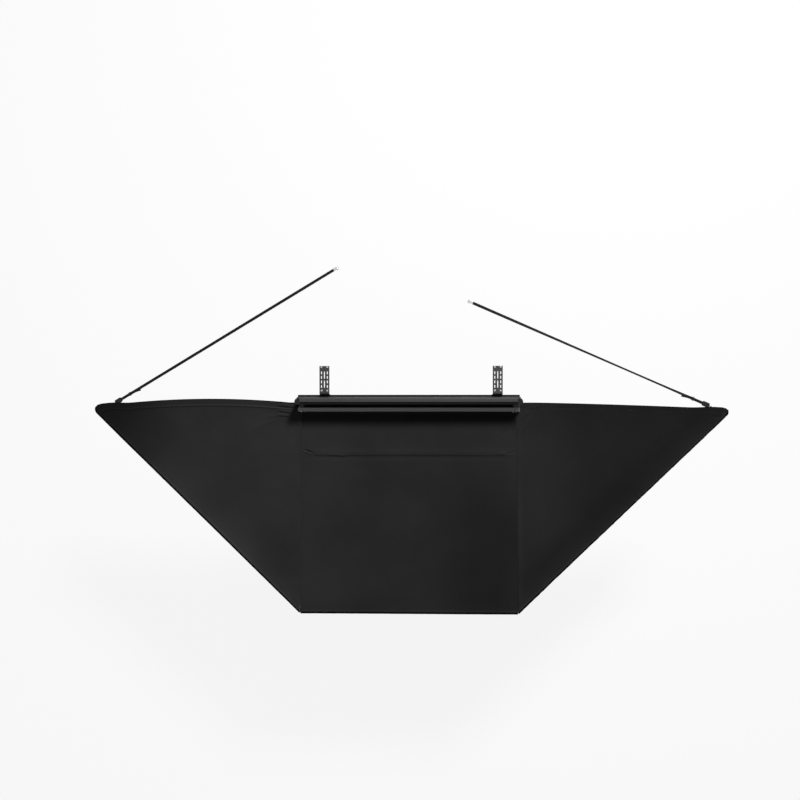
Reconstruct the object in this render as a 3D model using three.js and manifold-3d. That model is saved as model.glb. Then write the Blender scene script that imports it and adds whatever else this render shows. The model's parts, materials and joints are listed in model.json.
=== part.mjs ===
import * as THREE from 'three';
import { mergeVertices } from 'three/addons/utils/BufferGeometryUtils.js';
import Module from 'manifold-3d';

// A side awning for a vehicle: a long case with its lid held open, four arms on two pins,
// a canopy sewn from three panels and two straps up to the roof rack.
// Millimetres. X runs along the vehicle, +Y points to the vehicle, +Z is up.
// The origin is at the middle of the case's rear ridge, on its rear face.

const wasm = await Module();
wasm.setup();

// Case, with heights above its underside
const caseLength = 1980;
const caseDepth = 153;
const caseWall = 2.5;
const frontLip = 7;
const ridgeDepth = 22;
const ridgeHeight = 32;
const ridgeLevel = 78;
const slotMouth = 9;
const slotWidth = 17;
const slotLip = 4;
const slotDepth = 7;
const endPlate = 3;
const endWallHeight = 46;
const endColumnDepth = 34;
const hingeLevel = 148;
const hingeBead = 4.2;
const sitGap = 0.3;

// Lid
const lidDrop = 57;
const lidOpenDegrees = 86.5;
const lidEndRadius = 35;
const lidEdgeRadius = 12;
const lidCapWidth = 45;
const hookWall = 2.4;
const hookClearance = 0.4;
const sealHeight = 22;
const sealThickness = 1.5;
const sealFoot = 1.7;

// Pivots and arms
const swingCentre = 88;
const swingTiltDegrees = 3;
const pivotInset = 40;
const pivotStagger = 12;
const layerStart = 12;
const layerGap = 2;
const armWidth = 25;
const armHeight = 19;
const armWall = 2;
const armReach = 1850;
const frontSplayDegrees = 1.5;
const sideSweepDegrees = 1;
const hubRadius = 17;
const hubNeck = 30;
const hubTongue = 48;
const pinRadius = 6;
const pinClearance = 0.4;
const pinHeadRadius = 11;
const pinHeadHeight = 7;
const barrelRadius = 13;
const tipCap = 10;
const tipTongue = 40;
const bracketWidth = 44;
const bracketWeb = 20;
const bracketPlate = 8;
const bracketNose = 19;
const bracketFoot = 28;
const bracketBoltRadius = 4;
const bracketBoltSpread = 26;
const bracketBoltLevel = 36;
const railScrewRadius = 4.6;
const railScrewHead = 1.4;

// Rail that carries the canopy's edge
const railWidth = 34;
const railHeight = 30;
const railSetback = 6;
const railWall = 2.2;
const railEndGap = 9;
const boreRadius = 4.6;
const boreGap = 3.6;
const boreInset = 9;
const cordRadius = 4.2;
const beadEndGap = 9;

// Canopy
const clothThickness = 1.5;
const clothLift = 0.5;
const clothRise = 2;
const clothBend = 12;
const clothStart = 82;
const clothSideGap = 6;
const sideOverhang = 55;
const leftFrontOverhang = 75;
const rightFrontOverhang = 43;
const leftEdgeBulge = 56;
const rightEdgeBulge = 26;
const edgeStartDepth = 71;
const centreSag = 45;
const wingSag = 50;
const foldDepth = 7;
const seamGap = 0.6;

// Straps
const strapWidth = 25;
const strapThickness = 1.6;
const leftAnchorInset = 145;
const rightAnchorInset = 128;
const leftHook = { x: -630, y: 1118 };
const rightHook = { x: 535, y: 820 };
const rackTop = 75;
const anchorLength = 44;
const anchorPlate = 2.5;
const anchorHeight = 15;
const anchorTab = 16;
const tabThickness = 4;
const tabRadius = 6.2;
const tabHole = 2.6;
const ringRadius = 7;
const ringWire = 1.8;
const buckleLength = 62;
const buckleWidth = 38;
const buckleHeight = 13;
const sliderPlace = 165;
const sliderLength = 20;
const sliderWall = 3;
const hookLength = 34;
const hookRadius = 13;
const hookThickness = 3;
const twistDegrees = 68;

// Slotted brackets on the ridge
const plateWidth = 88;
const plateReach = 256;
const plateThickness = 5;
const plateRise = 52;
const plateBend = 10;
const legDrop = 22;
const plateInset = 223.5;
const plateShift = 21;
const boltSpread = 52;
const boltNear = 37;
const boltFarInset = 10;
const boltRadius = 4;
const boltClearance = 0.5;
const boltHeadRadius = 7.4;
const boltHeadHeight = 5.3;
const boltTail = 22;
const washerRadius = 8.5;
const washerThickness = 1.6;
const cutWidth = 8.5;
const shortCut = 26;
const longCut = 64;
const cutPitch = 40;
const longCutPitch = 80;
const cutShift = 7;

// How far cutting shapes run past what they cut
const overrun = 20;

// Shares, counts and fits of curves
const cornerLengthShare = 0.041;
const cornerWidthShare = 0.029;
const cornerColumnShares = [0, 0.15, 0.5, 1];
const rightBowShare = 0.4;
const foldCount = 3;
const hookStartShare = 0.08;
const hookEndShare = 0.66;
const hookFootShare = 0.4;
const hookTipShare = 0.375;
const nutHeightShare = 0.8;
const threadEndShare = 0.4;
const buckleNoseShare = 0.33;
const buckleLipShare = 0.25;
const shortCutCount = 4;
const longCutCount = 2;
const hexSides = 6;
const wireSides = 6;
const postSides = 12;
const ringSteps = 16;
const hubSides = 24;
const hookSteps = 12;
const roundSteps = 8;
const sheetRows = 16;
const sheetColumns = 18;
const bendRows = 5;
const strapSteps = 24;

// Places that follow from the sizes above
const halfCase = caseLength / 2;
const bodyHalf = halfCase - lidCapWidth;
const caseFront = -caseDepth;
const wallFront = -ridgeDepth - caseWall;
const hingeY = -ridgeDepth - caseWall / 2;
const hookOuter = hingeBead + hookClearance + hookWall;
const lidTop = hingeLevel + hookOuter;
const lidBottom = lidTop - lidDrop;
const pivotX = halfCase - pivotInset;
const tilt = THREE.MathUtils.degToRad(swingTiltDegrees);
const layerPitch = armHeight + layerGap;
const layerTop = (layer) => layerStart + layer * layerPitch + armHeight;
const stackTop = layerTop(3);
const upperFace = stackTop + layerGap + sitGap;
const lowerFace = layerStart - layerGap;
const clothLevel = stackTop + clothRise + clothLift;
const sideReach = armReach + sideOverhang;
const leftFrontReach = armReach + leftFrontOverhang;
const rightFrontReach = armReach + rightFrontOverhang;
const leftAnchorReach = armReach - leftAnchorInset;
const rightAnchorReach = armReach - rightAnchorInset;
const plateSpacing = caseLength - plateInset * 2;
const boltFar = plateReach - boltFarInset;
const cutMiddle = plateReach / 2 + cutShift;
const railFront = caseFront + railSetback;
const bracketTop = planeHeight(wallFront - bracketWeb, upperFace) + bracketPlate;
const railBottom = bracketTop + sitGap;
const boreY = railFront + boreInset;
const boreLevel = railBottom + boreRadius + caseWall;

// Materials
const metal = (color, roughness = 0.45, metalness = 0.7) =>
  new THREE.MeshStandardMaterial({ color, roughness, metalness });
const coatedMetal = metal(0x4a4b4d, 0.42, 0.6);
const darkMetal = metal(0x2d2e30, 0.5, 0.6);
const brightSteel = metal(0xb9bbbd, 0.28, 0.9);
const blackPlastic = metal(0x1b1b1c, 0.6, 0);
const fabric = metal(0x282829, 0.92, 0);
const webbing = metal(0x1d1d1e, 0.85, 0);
const rubber = metal(0x242425, 0.8, 0);

// Groups: everything is placed from the case's underside, the arms in a plane that droops outwards
const awning = new THREE.Group();
const caseGroup = new THREE.Group();
caseGroup.position.z = -ridgeLevel;
awning.add(caseGroup);
const lidHinge = new THREE.Group();
lidHinge.position.set(0, hingeY, hingeLevel);
lidHinge.rotation.x = -THREE.MathUtils.degToRad(lidOpenDegrees);
const lidGroup = new THREE.Group();
lidGroup.position.set(0, -hingeY, -hingeLevel);
lidHinge.add(lidGroup);
caseGroup.add(lidHinge);
const swingGroup = new THREE.Group();
swingGroup.position.y = -swingCentre;
swingGroup.rotation.x = tilt;
caseGroup.add(swingGroup);

// Height above the case's underside of the swing plane at level w, over depth y
function planeHeight(y, w) {
  const v = (y + swingCentre + w * Math.sin(tilt)) / Math.cos(tilt);
  return v * Math.sin(tilt) + w * Math.cos(tilt);
}

// A point of the swing plane in the case's axes
function swingPoint(x, v, w) {
  return new THREE.Vector3(
    x,
    -swingCentre + v * Math.cos(tilt) - w * Math.sin(tilt),
    v * Math.sin(tilt) + w * Math.cos(tilt),
  );
}

function add(group, name, geometry, material) {
  const mesh = new THREE.Mesh(geometry, material);
  mesh.name = name;
  group.add(mesh);
  return mesh;
}

// Solids for cutting and joining
function toSolid(geometry) {
  const bare = geometry.clone();
  bare.deleteAttribute('normal');
  bare.deleteAttribute('uv');
  const welded = mergeVertices(bare);
  return new wasm.Manifold(new wasm.Mesh({
    numProp: 3,
    vertProperties: new Float32Array(welded.attributes.position.array),
    triVerts: new Uint32Array(welded.index.array),
  }));
}

function toGeometry(solid) {
  const { vertProperties, triVerts } = solid.getMesh();
  const geometry = new THREE.BufferGeometry();
  geometry.setAttribute('position', new THREE.BufferAttribute(new Float32Array(vertProperties), 3));
  geometry.setIndex(new THREE.BufferAttribute(new Uint32Array(triVerts), 1));
  return geometry;
}

function combine(method, first, rest) {
  let solid = toSolid(first);
  for (const geometry of rest) solid = solid[method](toSolid(geometry));
  return toGeometry(solid);
}

const cut = (first, ...rest) => combine('subtract', first, rest);
const fuse = (first, ...rest) => combine('add', first, rest);
const common = (first, ...rest) => combine('intersect', first, rest);

// Basic bodies
function box(x0, x1, y0, y1, z0, z1) {
  const geometry = new THREE.BoxGeometry(x1 - x0, y1 - y0, z1 - z0);
  return geometry.translate((x0 + x1) / 2, (y0 + y1) / 2, (z0 + z1) / 2);
}

function post(radius, z0, z1, sides = postSides) {
  const geometry = new THREE.CylinderGeometry(radius, radius, z1 - z0, sides);
  return geometry.rotateX(Math.PI / 2).translate(0, 0, (z0 + z1) / 2);
}

function outline(points, holes = []) {
  const shape = new THREE.Shape(points.map(([a, b]) => new THREE.Vector2(a, b)));
  for (const hole of holes) {
    shape.holes.push(new THREE.Path(hole.map(([a, b]) => new THREE.Vector2(a, b))));
  }
  return shape;
}

// An outline of (y, z) points drawn out along X
function alongX(shape, x0, x1) {
  const geometry = new THREE.ExtrudeGeometry(shape, { depth: x1 - x0, bevelEnabled: false });
  const turn = new THREE.Matrix4().makeBasis(
    new THREE.Vector3(0, 1, 0), new THREE.Vector3(0, 0, 1), new THREE.Vector3(1, 0, 0),
  );
  return geometry.applyMatrix4(turn).translate(x0, 0, 0);
}

// An outline of (x, z) points drawn out along Y
function alongY(shape, y0, y1) {
  const geometry = new THREE.ExtrudeGeometry(shape, { depth: y1 - y0, bevelEnabled: false });
  return geometry.rotateX(Math.PI / 2).translate(0, y1, 0);
}

// An outline of (x, y) points drawn out along Z
function alongZ(shape, z0, z1) {
  const geometry = new THREE.ExtrudeGeometry(shape, { depth: z1 - z0, bevelEnabled: false });
  return geometry.translate(0, 0, z0);
}

function arc(centreA, centreB, radius, from, to, steps) {
  const points = [];
  for (let i = 0; i <= steps; i += 1) {
    const angle = from + ((to - from) * i) / steps;
    points.push([centreA + radius * Math.cos(angle), centreB + radius * Math.sin(angle)]);
  }
  return points;
}

function rectangle(a0, a1, b0, b1) {
  return [[a0, b0], [a1, b0], [a1, b1], [a0, b1]];
}

// Case
function baseOutline() {
  const slotHalf = slotWidth / 2;
  const mouthHalf = slotMouth / 2;
  const ridgeHalf = ridgeHeight / 2;
  const neck = Math.asin(caseWall / 2 / hingeBead);
  return outline([
    [-ridgeDepth, 0],
    [-ridgeDepth, ridgeLevel - ridgeHalf],
    [0, ridgeLevel - ridgeHalf],
    [0, ridgeLevel - mouthHalf],
    [-slotLip, ridgeLevel - mouthHalf],
    [-slotLip, ridgeLevel - slotHalf],
    [-slotLip - slotDepth, ridgeLevel - slotHalf],
    [-slotLip - slotDepth, ridgeLevel + slotHalf],
    [-slotLip, ridgeLevel + slotHalf],
    [-slotLip, ridgeLevel + mouthHalf],
    [0, ridgeLevel + mouthHalf],
    [0, ridgeLevel + ridgeHalf],
    [-ridgeDepth, ridgeLevel + ridgeHalf],
    ...arc(hingeY, hingeLevel, hingeBead, neck - Math.PI / 2, Math.PI * 1.5 - neck, hookSteps),
    [wallFront, caseWall],
    [caseFront + caseWall, caseWall],
    [caseFront + caseWall, frontLip],
    [caseFront, frontLip],
    [caseFront, 0],
  ]);
}

function buildBase() {
  let geometry = alongX(baseOutline(), -halfCase + endPlate + sitGap, halfCase - endPlate - sitGap);
  for (const side of [-1, 1]) {
    for (const shift of [-1, 1]) {
      const hole = post(bracketBoltRadius + boltClearance, -overrun, overrun);
      const x = side * pivotX + (shift * bracketBoltSpread) / 2;
      hole.rotateX(Math.PI / 2).translate(x, wallFront, bracketBoltLevel);
      geometry = cut(geometry, hole);
    }
  }
  add(caseGroup, 'case_base', geometry, coatedMetal);
}

// The end plates stay low in front, where the side arms reach out over them, and step back
// under the lid's end caps, which close down over them
function buildBaseEnd(side, name) {
  const columnFront = wallFront - endColumnDepth;
  const columnTop = hingeLevel - hookOuter;
  const stepY = hingeY - hookOuter;
  const shoulder = lidBottom - sealFoot - sitGap;
  const shape = outline([
    [-ridgeDepth, 0],
    [-ridgeDepth, columnTop],
    [stepY, columnTop],
    [stepY, shoulder],
    [columnFront, shoulder - endColumnDepth / 2],
    [columnFront, endWallHeight],
    [caseFront + endWallHeight / 2, endWallHeight],
    [caseFront, endWallHeight / 2],
    [caseFront, 0],
  ].reverse());
  const inner = halfCase - endPlate;
  const [x0, x1] = side < 0 ? [-halfCase, -inner] : [inner, halfCase];
  add(caseGroup, name, alongX(shape, x0, x1), blackPlastic);
}

// Lid, drawn closed in the case's axes
function lidOutline() {
  const inner = hingeBead + hookClearance;
  const hookStart = Math.PI * 2 * hookStartShare;
  const hookEnd = Math.PI * 2 * hookEndShare;
  const edgeY = caseFront + lidEdgeRadius;
  const edgeZ = lidTop - lidEdgeRadius;
  const outerArc = arc(hingeY, hingeLevel, hookOuter, hookStart, Math.PI / 2, hookSteps / 2);
  const innerArc = arc(hingeY, hingeLevel, inner, hookEnd, hookStart, hookSteps);
  const frontArc = arc(edgeY, edgeZ, lidEdgeRadius, Math.PI / 2, Math.PI, roundSteps);
  const insideArc = arc(edgeY, edgeZ, lidEdgeRadius - caseWall, Math.PI, Math.PI / 2, roundSteps);
  const footStart = Math.PI * 2 * hookFootShare;
  const hookFoot = arc(hingeY, hingeLevel, hookOuter, footStart, hookEnd, hookSteps / 3);
  return outline([
    ...outerArc,
    ...frontArc,
    [caseFront, lidBottom + sealHeight],
    [caseFront + sealThickness + sitGap, lidBottom + sealHeight],
    [caseFront + sealThickness + sitGap, lidBottom],
    [caseFront + caseWall + sealThickness, lidBottom],
    [caseFront + caseWall + sealThickness, lidBottom + sealHeight],
    [caseFront + caseWall, lidBottom + sealHeight + caseWall],
    ...insideArc,
    [hookFoot[0][0], lidTop - caseWall],
    ...hookFoot,
    ...innerArc,
  ]);
}

function lidCapBody(inset) {
  const top = lidTop - inset;
  const front = caseFront + inset;
  const end = halfCase - inset;
  const edge = lidEdgeRadius - inset;
  const corner = lidEndRadius - inset;
  const bottom = inset > 0 ? lidBottom - overrun : lidBottom;
  const start = inset > 0 ? bodyHalf - overrun : bodyHalf + sitGap;
  const rear = hingeY - hookOuter - sitGap + (inset > 0 ? overrun : 0);
  const sideView = outline([
    [rear, bottom],
    [rear, top],
    ...arc(front + edge, top - edge, edge, Math.PI / 2, Math.PI, roundSteps),
    [front, bottom],
  ]);
  const frontView = outline([
    [start, bottom],
    [end, bottom],
    ...arc(end - corner, top - corner, corner, 0, Math.PI / 2, roundSteps),
    [start, top],
  ]);
  const body = common(
    alongX(sideView, start - overrun, end + overrun),
    alongY(frontView, front - overrun, rear + overrun),
  );
  return body;
}

function mirrored(geometry) {
  const copy = geometry.clone().applyMatrix4(new THREE.Matrix4().makeScale(-1, 1, 1));
  const order = copy.index.array;
  for (let i = 0; i < order.length; i += 3) [order[i], order[i + 1]] = [order[i + 1], order[i]];
  return copy;
}

function buildLid() {
  add(lidGroup, 'lid_panel', alongX(lidOutline(), -bodyHalf, bodyHalf), coatedMetal);
  const cap = cut(lidCapBody(0), lidCapBody(caseWall));
  add(lidGroup, 'lid_end_cap_right', cap, blackPlastic);
  add(lidGroup, 'lid_end_cap_left', mirrored(cap), blackPlastic);
  const seal = outline([
    [caseFront, lidBottom + sealHeight - sitGap],
    [caseFront, lidBottom - sealFoot],
    [caseFront + caseWall + sealThickness, lidBottom - sealFoot],
    [caseFront + caseWall + sealThickness, lidBottom - sitGap],
    [caseFront + sealThickness, lidBottom - sitGap],
    [caseFront + sealThickness, lidBottom + sealHeight - sitGap],
  ]);
  add(lidGroup, 'lid_seal', alongX(seal, -bodyHalf, bodyHalf), rubber);
}

// Rail with a bore and a slot underneath for the beaded edge of the canopy
function buildRail() {
  const gapHalf = boreGap / 2;
  const mouth = Math.asin(gapHalf / boreRadius);
  const top = railBottom + railHeight;
  const chamberFloor = boreLevel + boreRadius + railWall;
  const rear = railFront + railWidth;
  const chamber = rectangle(
    railFront + railWall, rear - railWall, chamberFloor, top - railWall,
  );
  const shape = outline([
    [railFront, railBottom],
    [boreY - gapHalf, railBottom],
    ...arc(boreY, boreLevel, boreRadius, Math.PI * 1.5 - mouth, mouth - Math.PI / 2, hookSteps),
    [boreY + gapHalf, railBottom],
    [rear, railBottom],
    [rear, top],
    [railFront, top],
  ], [chamber.reverse()]);
  const half = halfCase - railEndGap;
  add(caseGroup, 'keder_rail', alongX(shape, -half, half), coatedMetal);
  const bead = post(cordRadius, -beadHalf(), beadHalf(), roundSteps);
  bead.rotateY(Math.PI / 2).translate(0, boreY, boreLevel);
  add(caseGroup, 'keder_bead', bead, fabric);
}

function beadHalf() {
  return pivotX - bracketWidth / 2 - beadEndGap;
}

// Cast bracket at each end: foot, web and a top plate with an ear under the rail
function buildBracket(side, name) {
  const pivotV = side < 0 ? pivotStagger : -pivotStagger;
  const webRear = wallFront - sitGap;
  const webFront = wallFront - bracketWeb;
  const earFront = railFront + caseWall + sitGap;
  const footFront = -swingCentre + pivotV - bracketFoot;
  const floor = caseWall + sitGap;
  const profile = outline([
    [webRear, floor],
    [webRear, bracketTop],
    [earFront, bracketTop],
    [earFront, planeHeight(earFront, upperFace)],
    [webFront, planeHeight(webFront, upperFace)],
    [webFront, planeHeight(webFront, lowerFace)],
    [footFront, planeHeight(footFront, lowerFace)],
    [footFront, floor],
  ]);
  const inner = pivotX - bracketWidth / 2;
  const outer = pivotX + bracketWidth / 2;
  const cornerY = -swingCentre + pivotV - bracketNose;
  const plan = outline([
    [inner, webRear + overrun],
    [inner, earFront - overrun],
    [pivotX, earFront - overrun],
    [pivotX, earFront],
    [outer, cornerY],
    [outer, webRear + overrun],
  ]);
  let body = common(alongX(profile, inner, outer), alongZ(plan, 0, bracketTop + overrun));
  const bore = post(pinRadius + pinClearance, -overrun, bracketTop + overrun);
  const seat = post(pinHeadRadius + pinClearance * 2, upperFace + bracketPlate / 2, bracketTop + overrun);
  for (const tool of [bore, seat]) {
    tool.rotateX(tilt).translate(pivotX, 0, 0);
    const place = swingPoint(0, pivotV, 0);
    body = cut(body, tool.translate(0, place.y, place.z));
  }
  for (const shift of [-1, 1]) {
    const hole = post(bracketBoltRadius + boltClearance, -overrun * 2, overrun * 2);
    const x = pivotX + (shift * bracketBoltSpread) / 2;
    hole.rotateX(Math.PI / 2).translate(x, wallFront, bracketBoltLevel);
    body = cut(body, hole);
  }
  add(caseGroup, name, side < 0 ? mirrored(body) : body, darkMetal);
}

// Bolts with hex head and nut, drawn along +Z from the head's seat at zero
function nutAndBolt(radius, grip) {
  const headRadius = radius * (boltHeadRadius / boltRadius);
  const headHeight = radius * (boltHeadHeight / boltRadius);
  return fuse(
    post(headRadius, -headHeight, 0, hexSides),
    post(radius, -headHeight, grip + headHeight, roundSteps),
    post(headRadius, grip, grip + headHeight * nutHeightShare, hexSides),
  );
}

function buildBracketBolts(side, word) {
  [-1, 1].forEach((shift, i) => {
    const bolt = nutAndBolt(bracketBoltRadius, bracketWeb + caseWall + sitGap * 2);
    const x = side * pivotX + (shift * bracketBoltSpread) / 2;
    bolt.rotateX(-Math.PI / 2).translate(x, wallFront - bracketWeb - sitGap, bracketBoltLevel);
    add(caseGroup, `pivot_bolt_${word}_${i + 1}`, bolt, brightSteel);
  });
}

// Screws through the rail into the ears of the brackets
function buildRailScrew(side, word) {
  const top = railBottom + railHeight + sitGap;
  const screw = post(railScrewRadius, top, top + railScrewHead, roundSteps);
  screw.translate(side * (pivotX - bracketWidth / 4), railFront + railWidth / 2, 0);
  add(caseGroup, `rail_screw_${word}`, screw, brightSteel);
}

// One upright pin through the bracket and both hubs, in the drooping plane
function buildPin(side, name) {
  const pivot = new THREE.Group();
  pivot.position.set(side * pivotX, side < 0 ? pivotStagger : -pivotStagger, 0);
  swingGroup.add(pivot);
  const seat = upperFace + bracketPlate / 2 + sitGap;
  const foot = lowerFace - bracketPlate / 2;
  const pin = fuse(
    post(pinRadius, foot, seat + pinHeadHeight, hookSteps),
    post(pinHeadRadius, seat, seat + pinHeadHeight, hexSides),
  );
  add(pivot, name, pin, brightSteel);
  return pivot;
}

// Arms: the hub's barrel fills the pin's height up to the next hub or the bracket
function hubGeometry(barrelLow, barrelHigh) {
  const half = armWidth / 2;
  const tongue = half - armWall - sitGap;
  const body = fuse(
    post(hubRadius, 0, armHeight, hubSides),
    post(barrelRadius, barrelLow, barrelHigh, hubSides),
    box(0, hubNeck, -half, half, 0, armHeight),
    box(0, hubNeck + hubTongue, -tongue, tongue, armWall + sitGap, armHeight - armWall - sitGap),
  );
  return cut(body, post(pinRadius + pinClearance, barrelLow - overrun, barrelHigh + overrun, hookSteps));
}

function tubeGeometry() {
  const half = armWidth / 2;
  const start = hubNeck + sitGap;
  const end = armReach - tipCap - sitGap;
  const outside = box(start, end, -half, half, 0, armHeight);
  const inside = box(
    start - overrun, end + overrun, -half + armWall, half - armWall, armWall, armHeight - armWall,
  );
  return cut(outside, inside);
}

function tipGeometry() {
  const half = armWidth / 2;
  const tongue = half - armWall - sitGap;
  const start = armReach - tipCap;
  const nose = outline([
    [start, -half],
    [armReach - tipCap / 2, -half],
    [armReach, -half / 2],
    [armReach, half / 2],
    [armReach - tipCap / 2, half],
    [start, half],
  ]);
  return fuse(
    alongZ(nose, 0, armHeight),
    box(
      start - tipTongue, start + tipCap / 2, -tongue, tongue,
      armWall + sitGap, armHeight - armWall - sitGap,
    ),
  );
}

function buildArm(pivot, name, degrees, layer) {
  const arm = new THREE.Group();
  const bottom = layerTop(layer) - armHeight;
  arm.position.z = bottom;
  arm.rotation.z = THREE.MathUtils.degToRad(degrees);
  pivot.add(arm);
  const barrelLow = layer < 2 ? lowerFace + sitGap - bottom : 0;
  const nextFace = layer < 2 ? bottom + layerPitch * 2 : upperFace;
  add(arm, `${name}_hub`, hubGeometry(barrelLow, nextFace - sitGap - bottom), darkMetal);
  add(arm, `${name}_tube`, tubeGeometry(), darkMetal);
  add(arm, `${name}_tip`, tipGeometry(), blackPlastic);
  return arm;
}

// Plate on the side of a side arm with a flat tab for the strap's ring; turn says which side
function buildAnchor(arm, name, reach, turn) {
  const face = armWidth / 2 + sitGap;
  const middle = armHeight / 2;
  const plate = box(
    reach - anchorLength / 2, reach + anchorLength / 2, face, face + anchorPlate,
    middle - anchorHeight / 2, middle + anchorHeight / 2,
  );
  const tabEnd = face + anchorTab;
  const tab = alongZ(outline([
    [reach - tabRadius, face + anchorPlate / 2],
    [reach + tabRadius, face + anchorPlate / 2],
    ...arc(reach, tabEnd, tabRadius, 0, Math.PI, roundSteps),
  ]), middle - tabThickness / 2, middle + tabThickness / 2);
  const hole = post(tabHole, 0, armHeight, roundSteps).translate(reach, tabEnd, 0);
  const body = cut(fuse(plate, tab), hole);
  if (turn < 0) body.rotateX(Math.PI).translate(0, 0, armHeight);
  add(arm, name, body, darkMetal);
  return new THREE.Vector3(reach, turn * tabEnd, middle);
}

// Canopy
function closedSheet(under, over) {
  const rows = under.length;
  const columns = under[0].length;
  const points = [...under.flat(), ...over.flat()];
  const at = (layer, i, j) => layer * rows * columns + i * columns + j;
  const faces = [];
  const quad = (a, b, c, d) => faces.push(a, b, c, a, c, d);
  for (let i = 0; i < rows - 1; i += 1) {
    for (let j = 0; j < columns - 1; j += 1) {
      quad(at(1, i, j), at(1, i, j + 1), at(1, i + 1, j + 1), at(1, i + 1, j));
      quad(at(0, i, j), at(0, i + 1, j), at(0, i + 1, j + 1), at(0, i, j + 1));
    }
  }
  for (let i = 0; i < rows - 1; i += 1) {
    quad(at(0, i, 0), at(1, i, 0), at(1, i + 1, 0), at(0, i + 1, 0));
    const last = columns - 1;
    quad(at(0, i + 1, last), at(1, i + 1, last), at(1, i, last), at(0, i, last));
  }
  for (let j = 0; j < columns - 1; j += 1) {
    quad(at(0, 0, j + 1), at(1, 0, j + 1), at(1, 0, j), at(0, 0, j));
    const last = rows - 1;
    quad(at(0, last, j), at(1, last, j), at(1, last, j + 1), at(0, last, j + 1));
  }
  const geometry = new THREE.BufferGeometry().setFromPoints(points);
  geometry.setIndex(enclosed(points, faces) > 0 ? faces : faces.reverse());
  return geometry;
}

function enclosed(points, faces) {
  let volume = 0;
  for (let i = 0; i < faces.length; i += 3) {
    const [a, b, c] = [points[faces[i]], points[faces[i + 1]], points[faces[i + 2]]];
    volume += a.dot(b.clone().cross(c));
  }
  return volume;
}

// Flat at both ends and one in the middle, so that cloth stays off the arms along its edges
const hollow = (share) => 16 * share ** 2 * (1 - share) ** 2;
const ease = (share) => share ** 2 * (3 - 2 * share);

function frontSeam(side, share) {
  const pivotV = side < 0 ? pivotStagger : -pivotStagger;
  const reach = side < 0 ? leftFrontReach : rightFrontReach;
  const splay = THREE.MathUtils.degToRad(frontSplayDegrees);
  const start = (clothStart + pivotV) / Math.cos(splay);
  const along = start + (reach - start) * share;
  const layer = side < 0 ? 0 : 1;
  const end = layerTop(layer) + clothLift;
  return {
    x: side * (pivotX + along * Math.sin(splay)),
    v: pivotV - along * Math.cos(splay),
    w: clothLevel + (end - clothLevel) * share,
  };
}

// The wing's edge on the vehicle side, which stands out past its arm
function outerEdge(side, share) {
  const pivotV = side < 0 ? pivotStagger : -pivotStagger;
  const sweep = THREE.MathUtils.degToRad(sideSweepDegrees);
  const layer = side < 0 ? 2 : 3;
  const end = layerTop(layer) + clothLift;
  const startX = halfCase + clothSideGap;
  const endX = pivotX + sideReach * Math.cos(sweep);
  const startV = swingCentre - edgeStartDepth;
  const endV = pivotV - sideReach * Math.sin(sweep);
  const bow = 4 * share * (1 - share);
  const bulge = side < 0 ? leftEdgeBulge * bow : rightEdgeBulge * bow ** rightBowShare;
  return {
    x: side * (startX + (endX - startX) * share),
    v: startV + (endV - startV) * share + bulge,
    w: clothLevel + (end - clothLevel) * share,
  };
}

function evenShares(count) {
  return Array.from({ length: count + 1 }, (_, i) => i / count);
}

function buildWing(side, name) {
  const cornerShares = cornerColumnShares.map((share) => share * cornerWidthShare);
  const columns = [...cornerShares, ...evenShares(sheetColumns).slice(1)];
  const edgeGap = (side * seamGap) / 2;
  const pointAt = (rowShare, across, lift) => {
    const short = Math.max(0, 1 - across / cornerWidthShare);
    const end = 1 - cornerLengthShare * (1 - Math.sqrt(1 - short ** 2));
    const share = rowShare * end;
    const a = outerEdge(side, share);
    const b = frontSeam(side, share);
    const folds = Math.sin(across * Math.PI * foldCount) ** 2 * foldDepth;
    const sag = (wingSag + folds) * hollow(across) * hollow(share) * share;
    return swingPoint(
      a.x + (b.x + edgeGap - a.x) * across,
      a.v + (b.v - a.v) * across,
      a.w + (b.w - a.w) * ease(across) - sag + lift,
    );
  };
  const grid = (lift) =>
    evenShares(sheetRows).map((row) => columns.map((column) => pointAt(row, column, lift)));
  add(caseGroup, name, closedSheet(grid(0), grid(clothThickness)), fabric);
}

// The centre panel drops out of the rail's slot, bends outwards and runs to the front hem
function buildCentre() {
  const first = planeHeight(boreY - clothBend, clothLevel);
  const bendCentre = first + clothBend;
  const columns = evenShares(sheetColumns);
  const narrow = beadHalf();
  const rowOf = (y, z, lift, half) => columns.map((share) => {
    const x = -half + 2 * half * share;
    return new THREE.Vector3(x, y + lift.y, z + lift.z);
  });
  const grid = (thickness) => {
    const startLift = { y: -thickness, z: 0 };
    const rows = [rowOf(boreY + clothThickness / 2, boreLevel - cordRadius - sitGap, startLift, narrow)];
    for (let i = 0; i < bendRows; i += 1) {
      const angle = (-Math.PI / 2) * (i / bendRows);
      const radius = clothBend - thickness;
      const y = boreY - clothBend + clothThickness / 2 + radius * Math.cos(angle);
      rows.push(rowOf(y, bendCentre + radius * Math.sin(angle), { y: 0, z: 0 }, narrow));
    }
    for (const share of evenShares(sheetRows)) {
      const left = frontSeam(-1, share);
      const right = frontSeam(1, share);
      rows.push(columns.map((across) => {
        const folds = Math.sin(across * Math.PI * foldCount) ** 2 * foldDepth;
        const sag = (centreSag + folds) * hollow(across) * hollow(share);
        return swingPoint(
          left.x + seamGap / 2 + (right.x - left.x - seamGap) * across,
          left.v + (right.v - left.v) * across,
          left.w + (right.w - left.w) * ease(across) - sag + thickness,
        );
      }));
    }
    return rows;
  };
  add(caseGroup, 'canopy_centre', closedSheet(grid(0), grid(clothThickness)), fabric);
}

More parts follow.
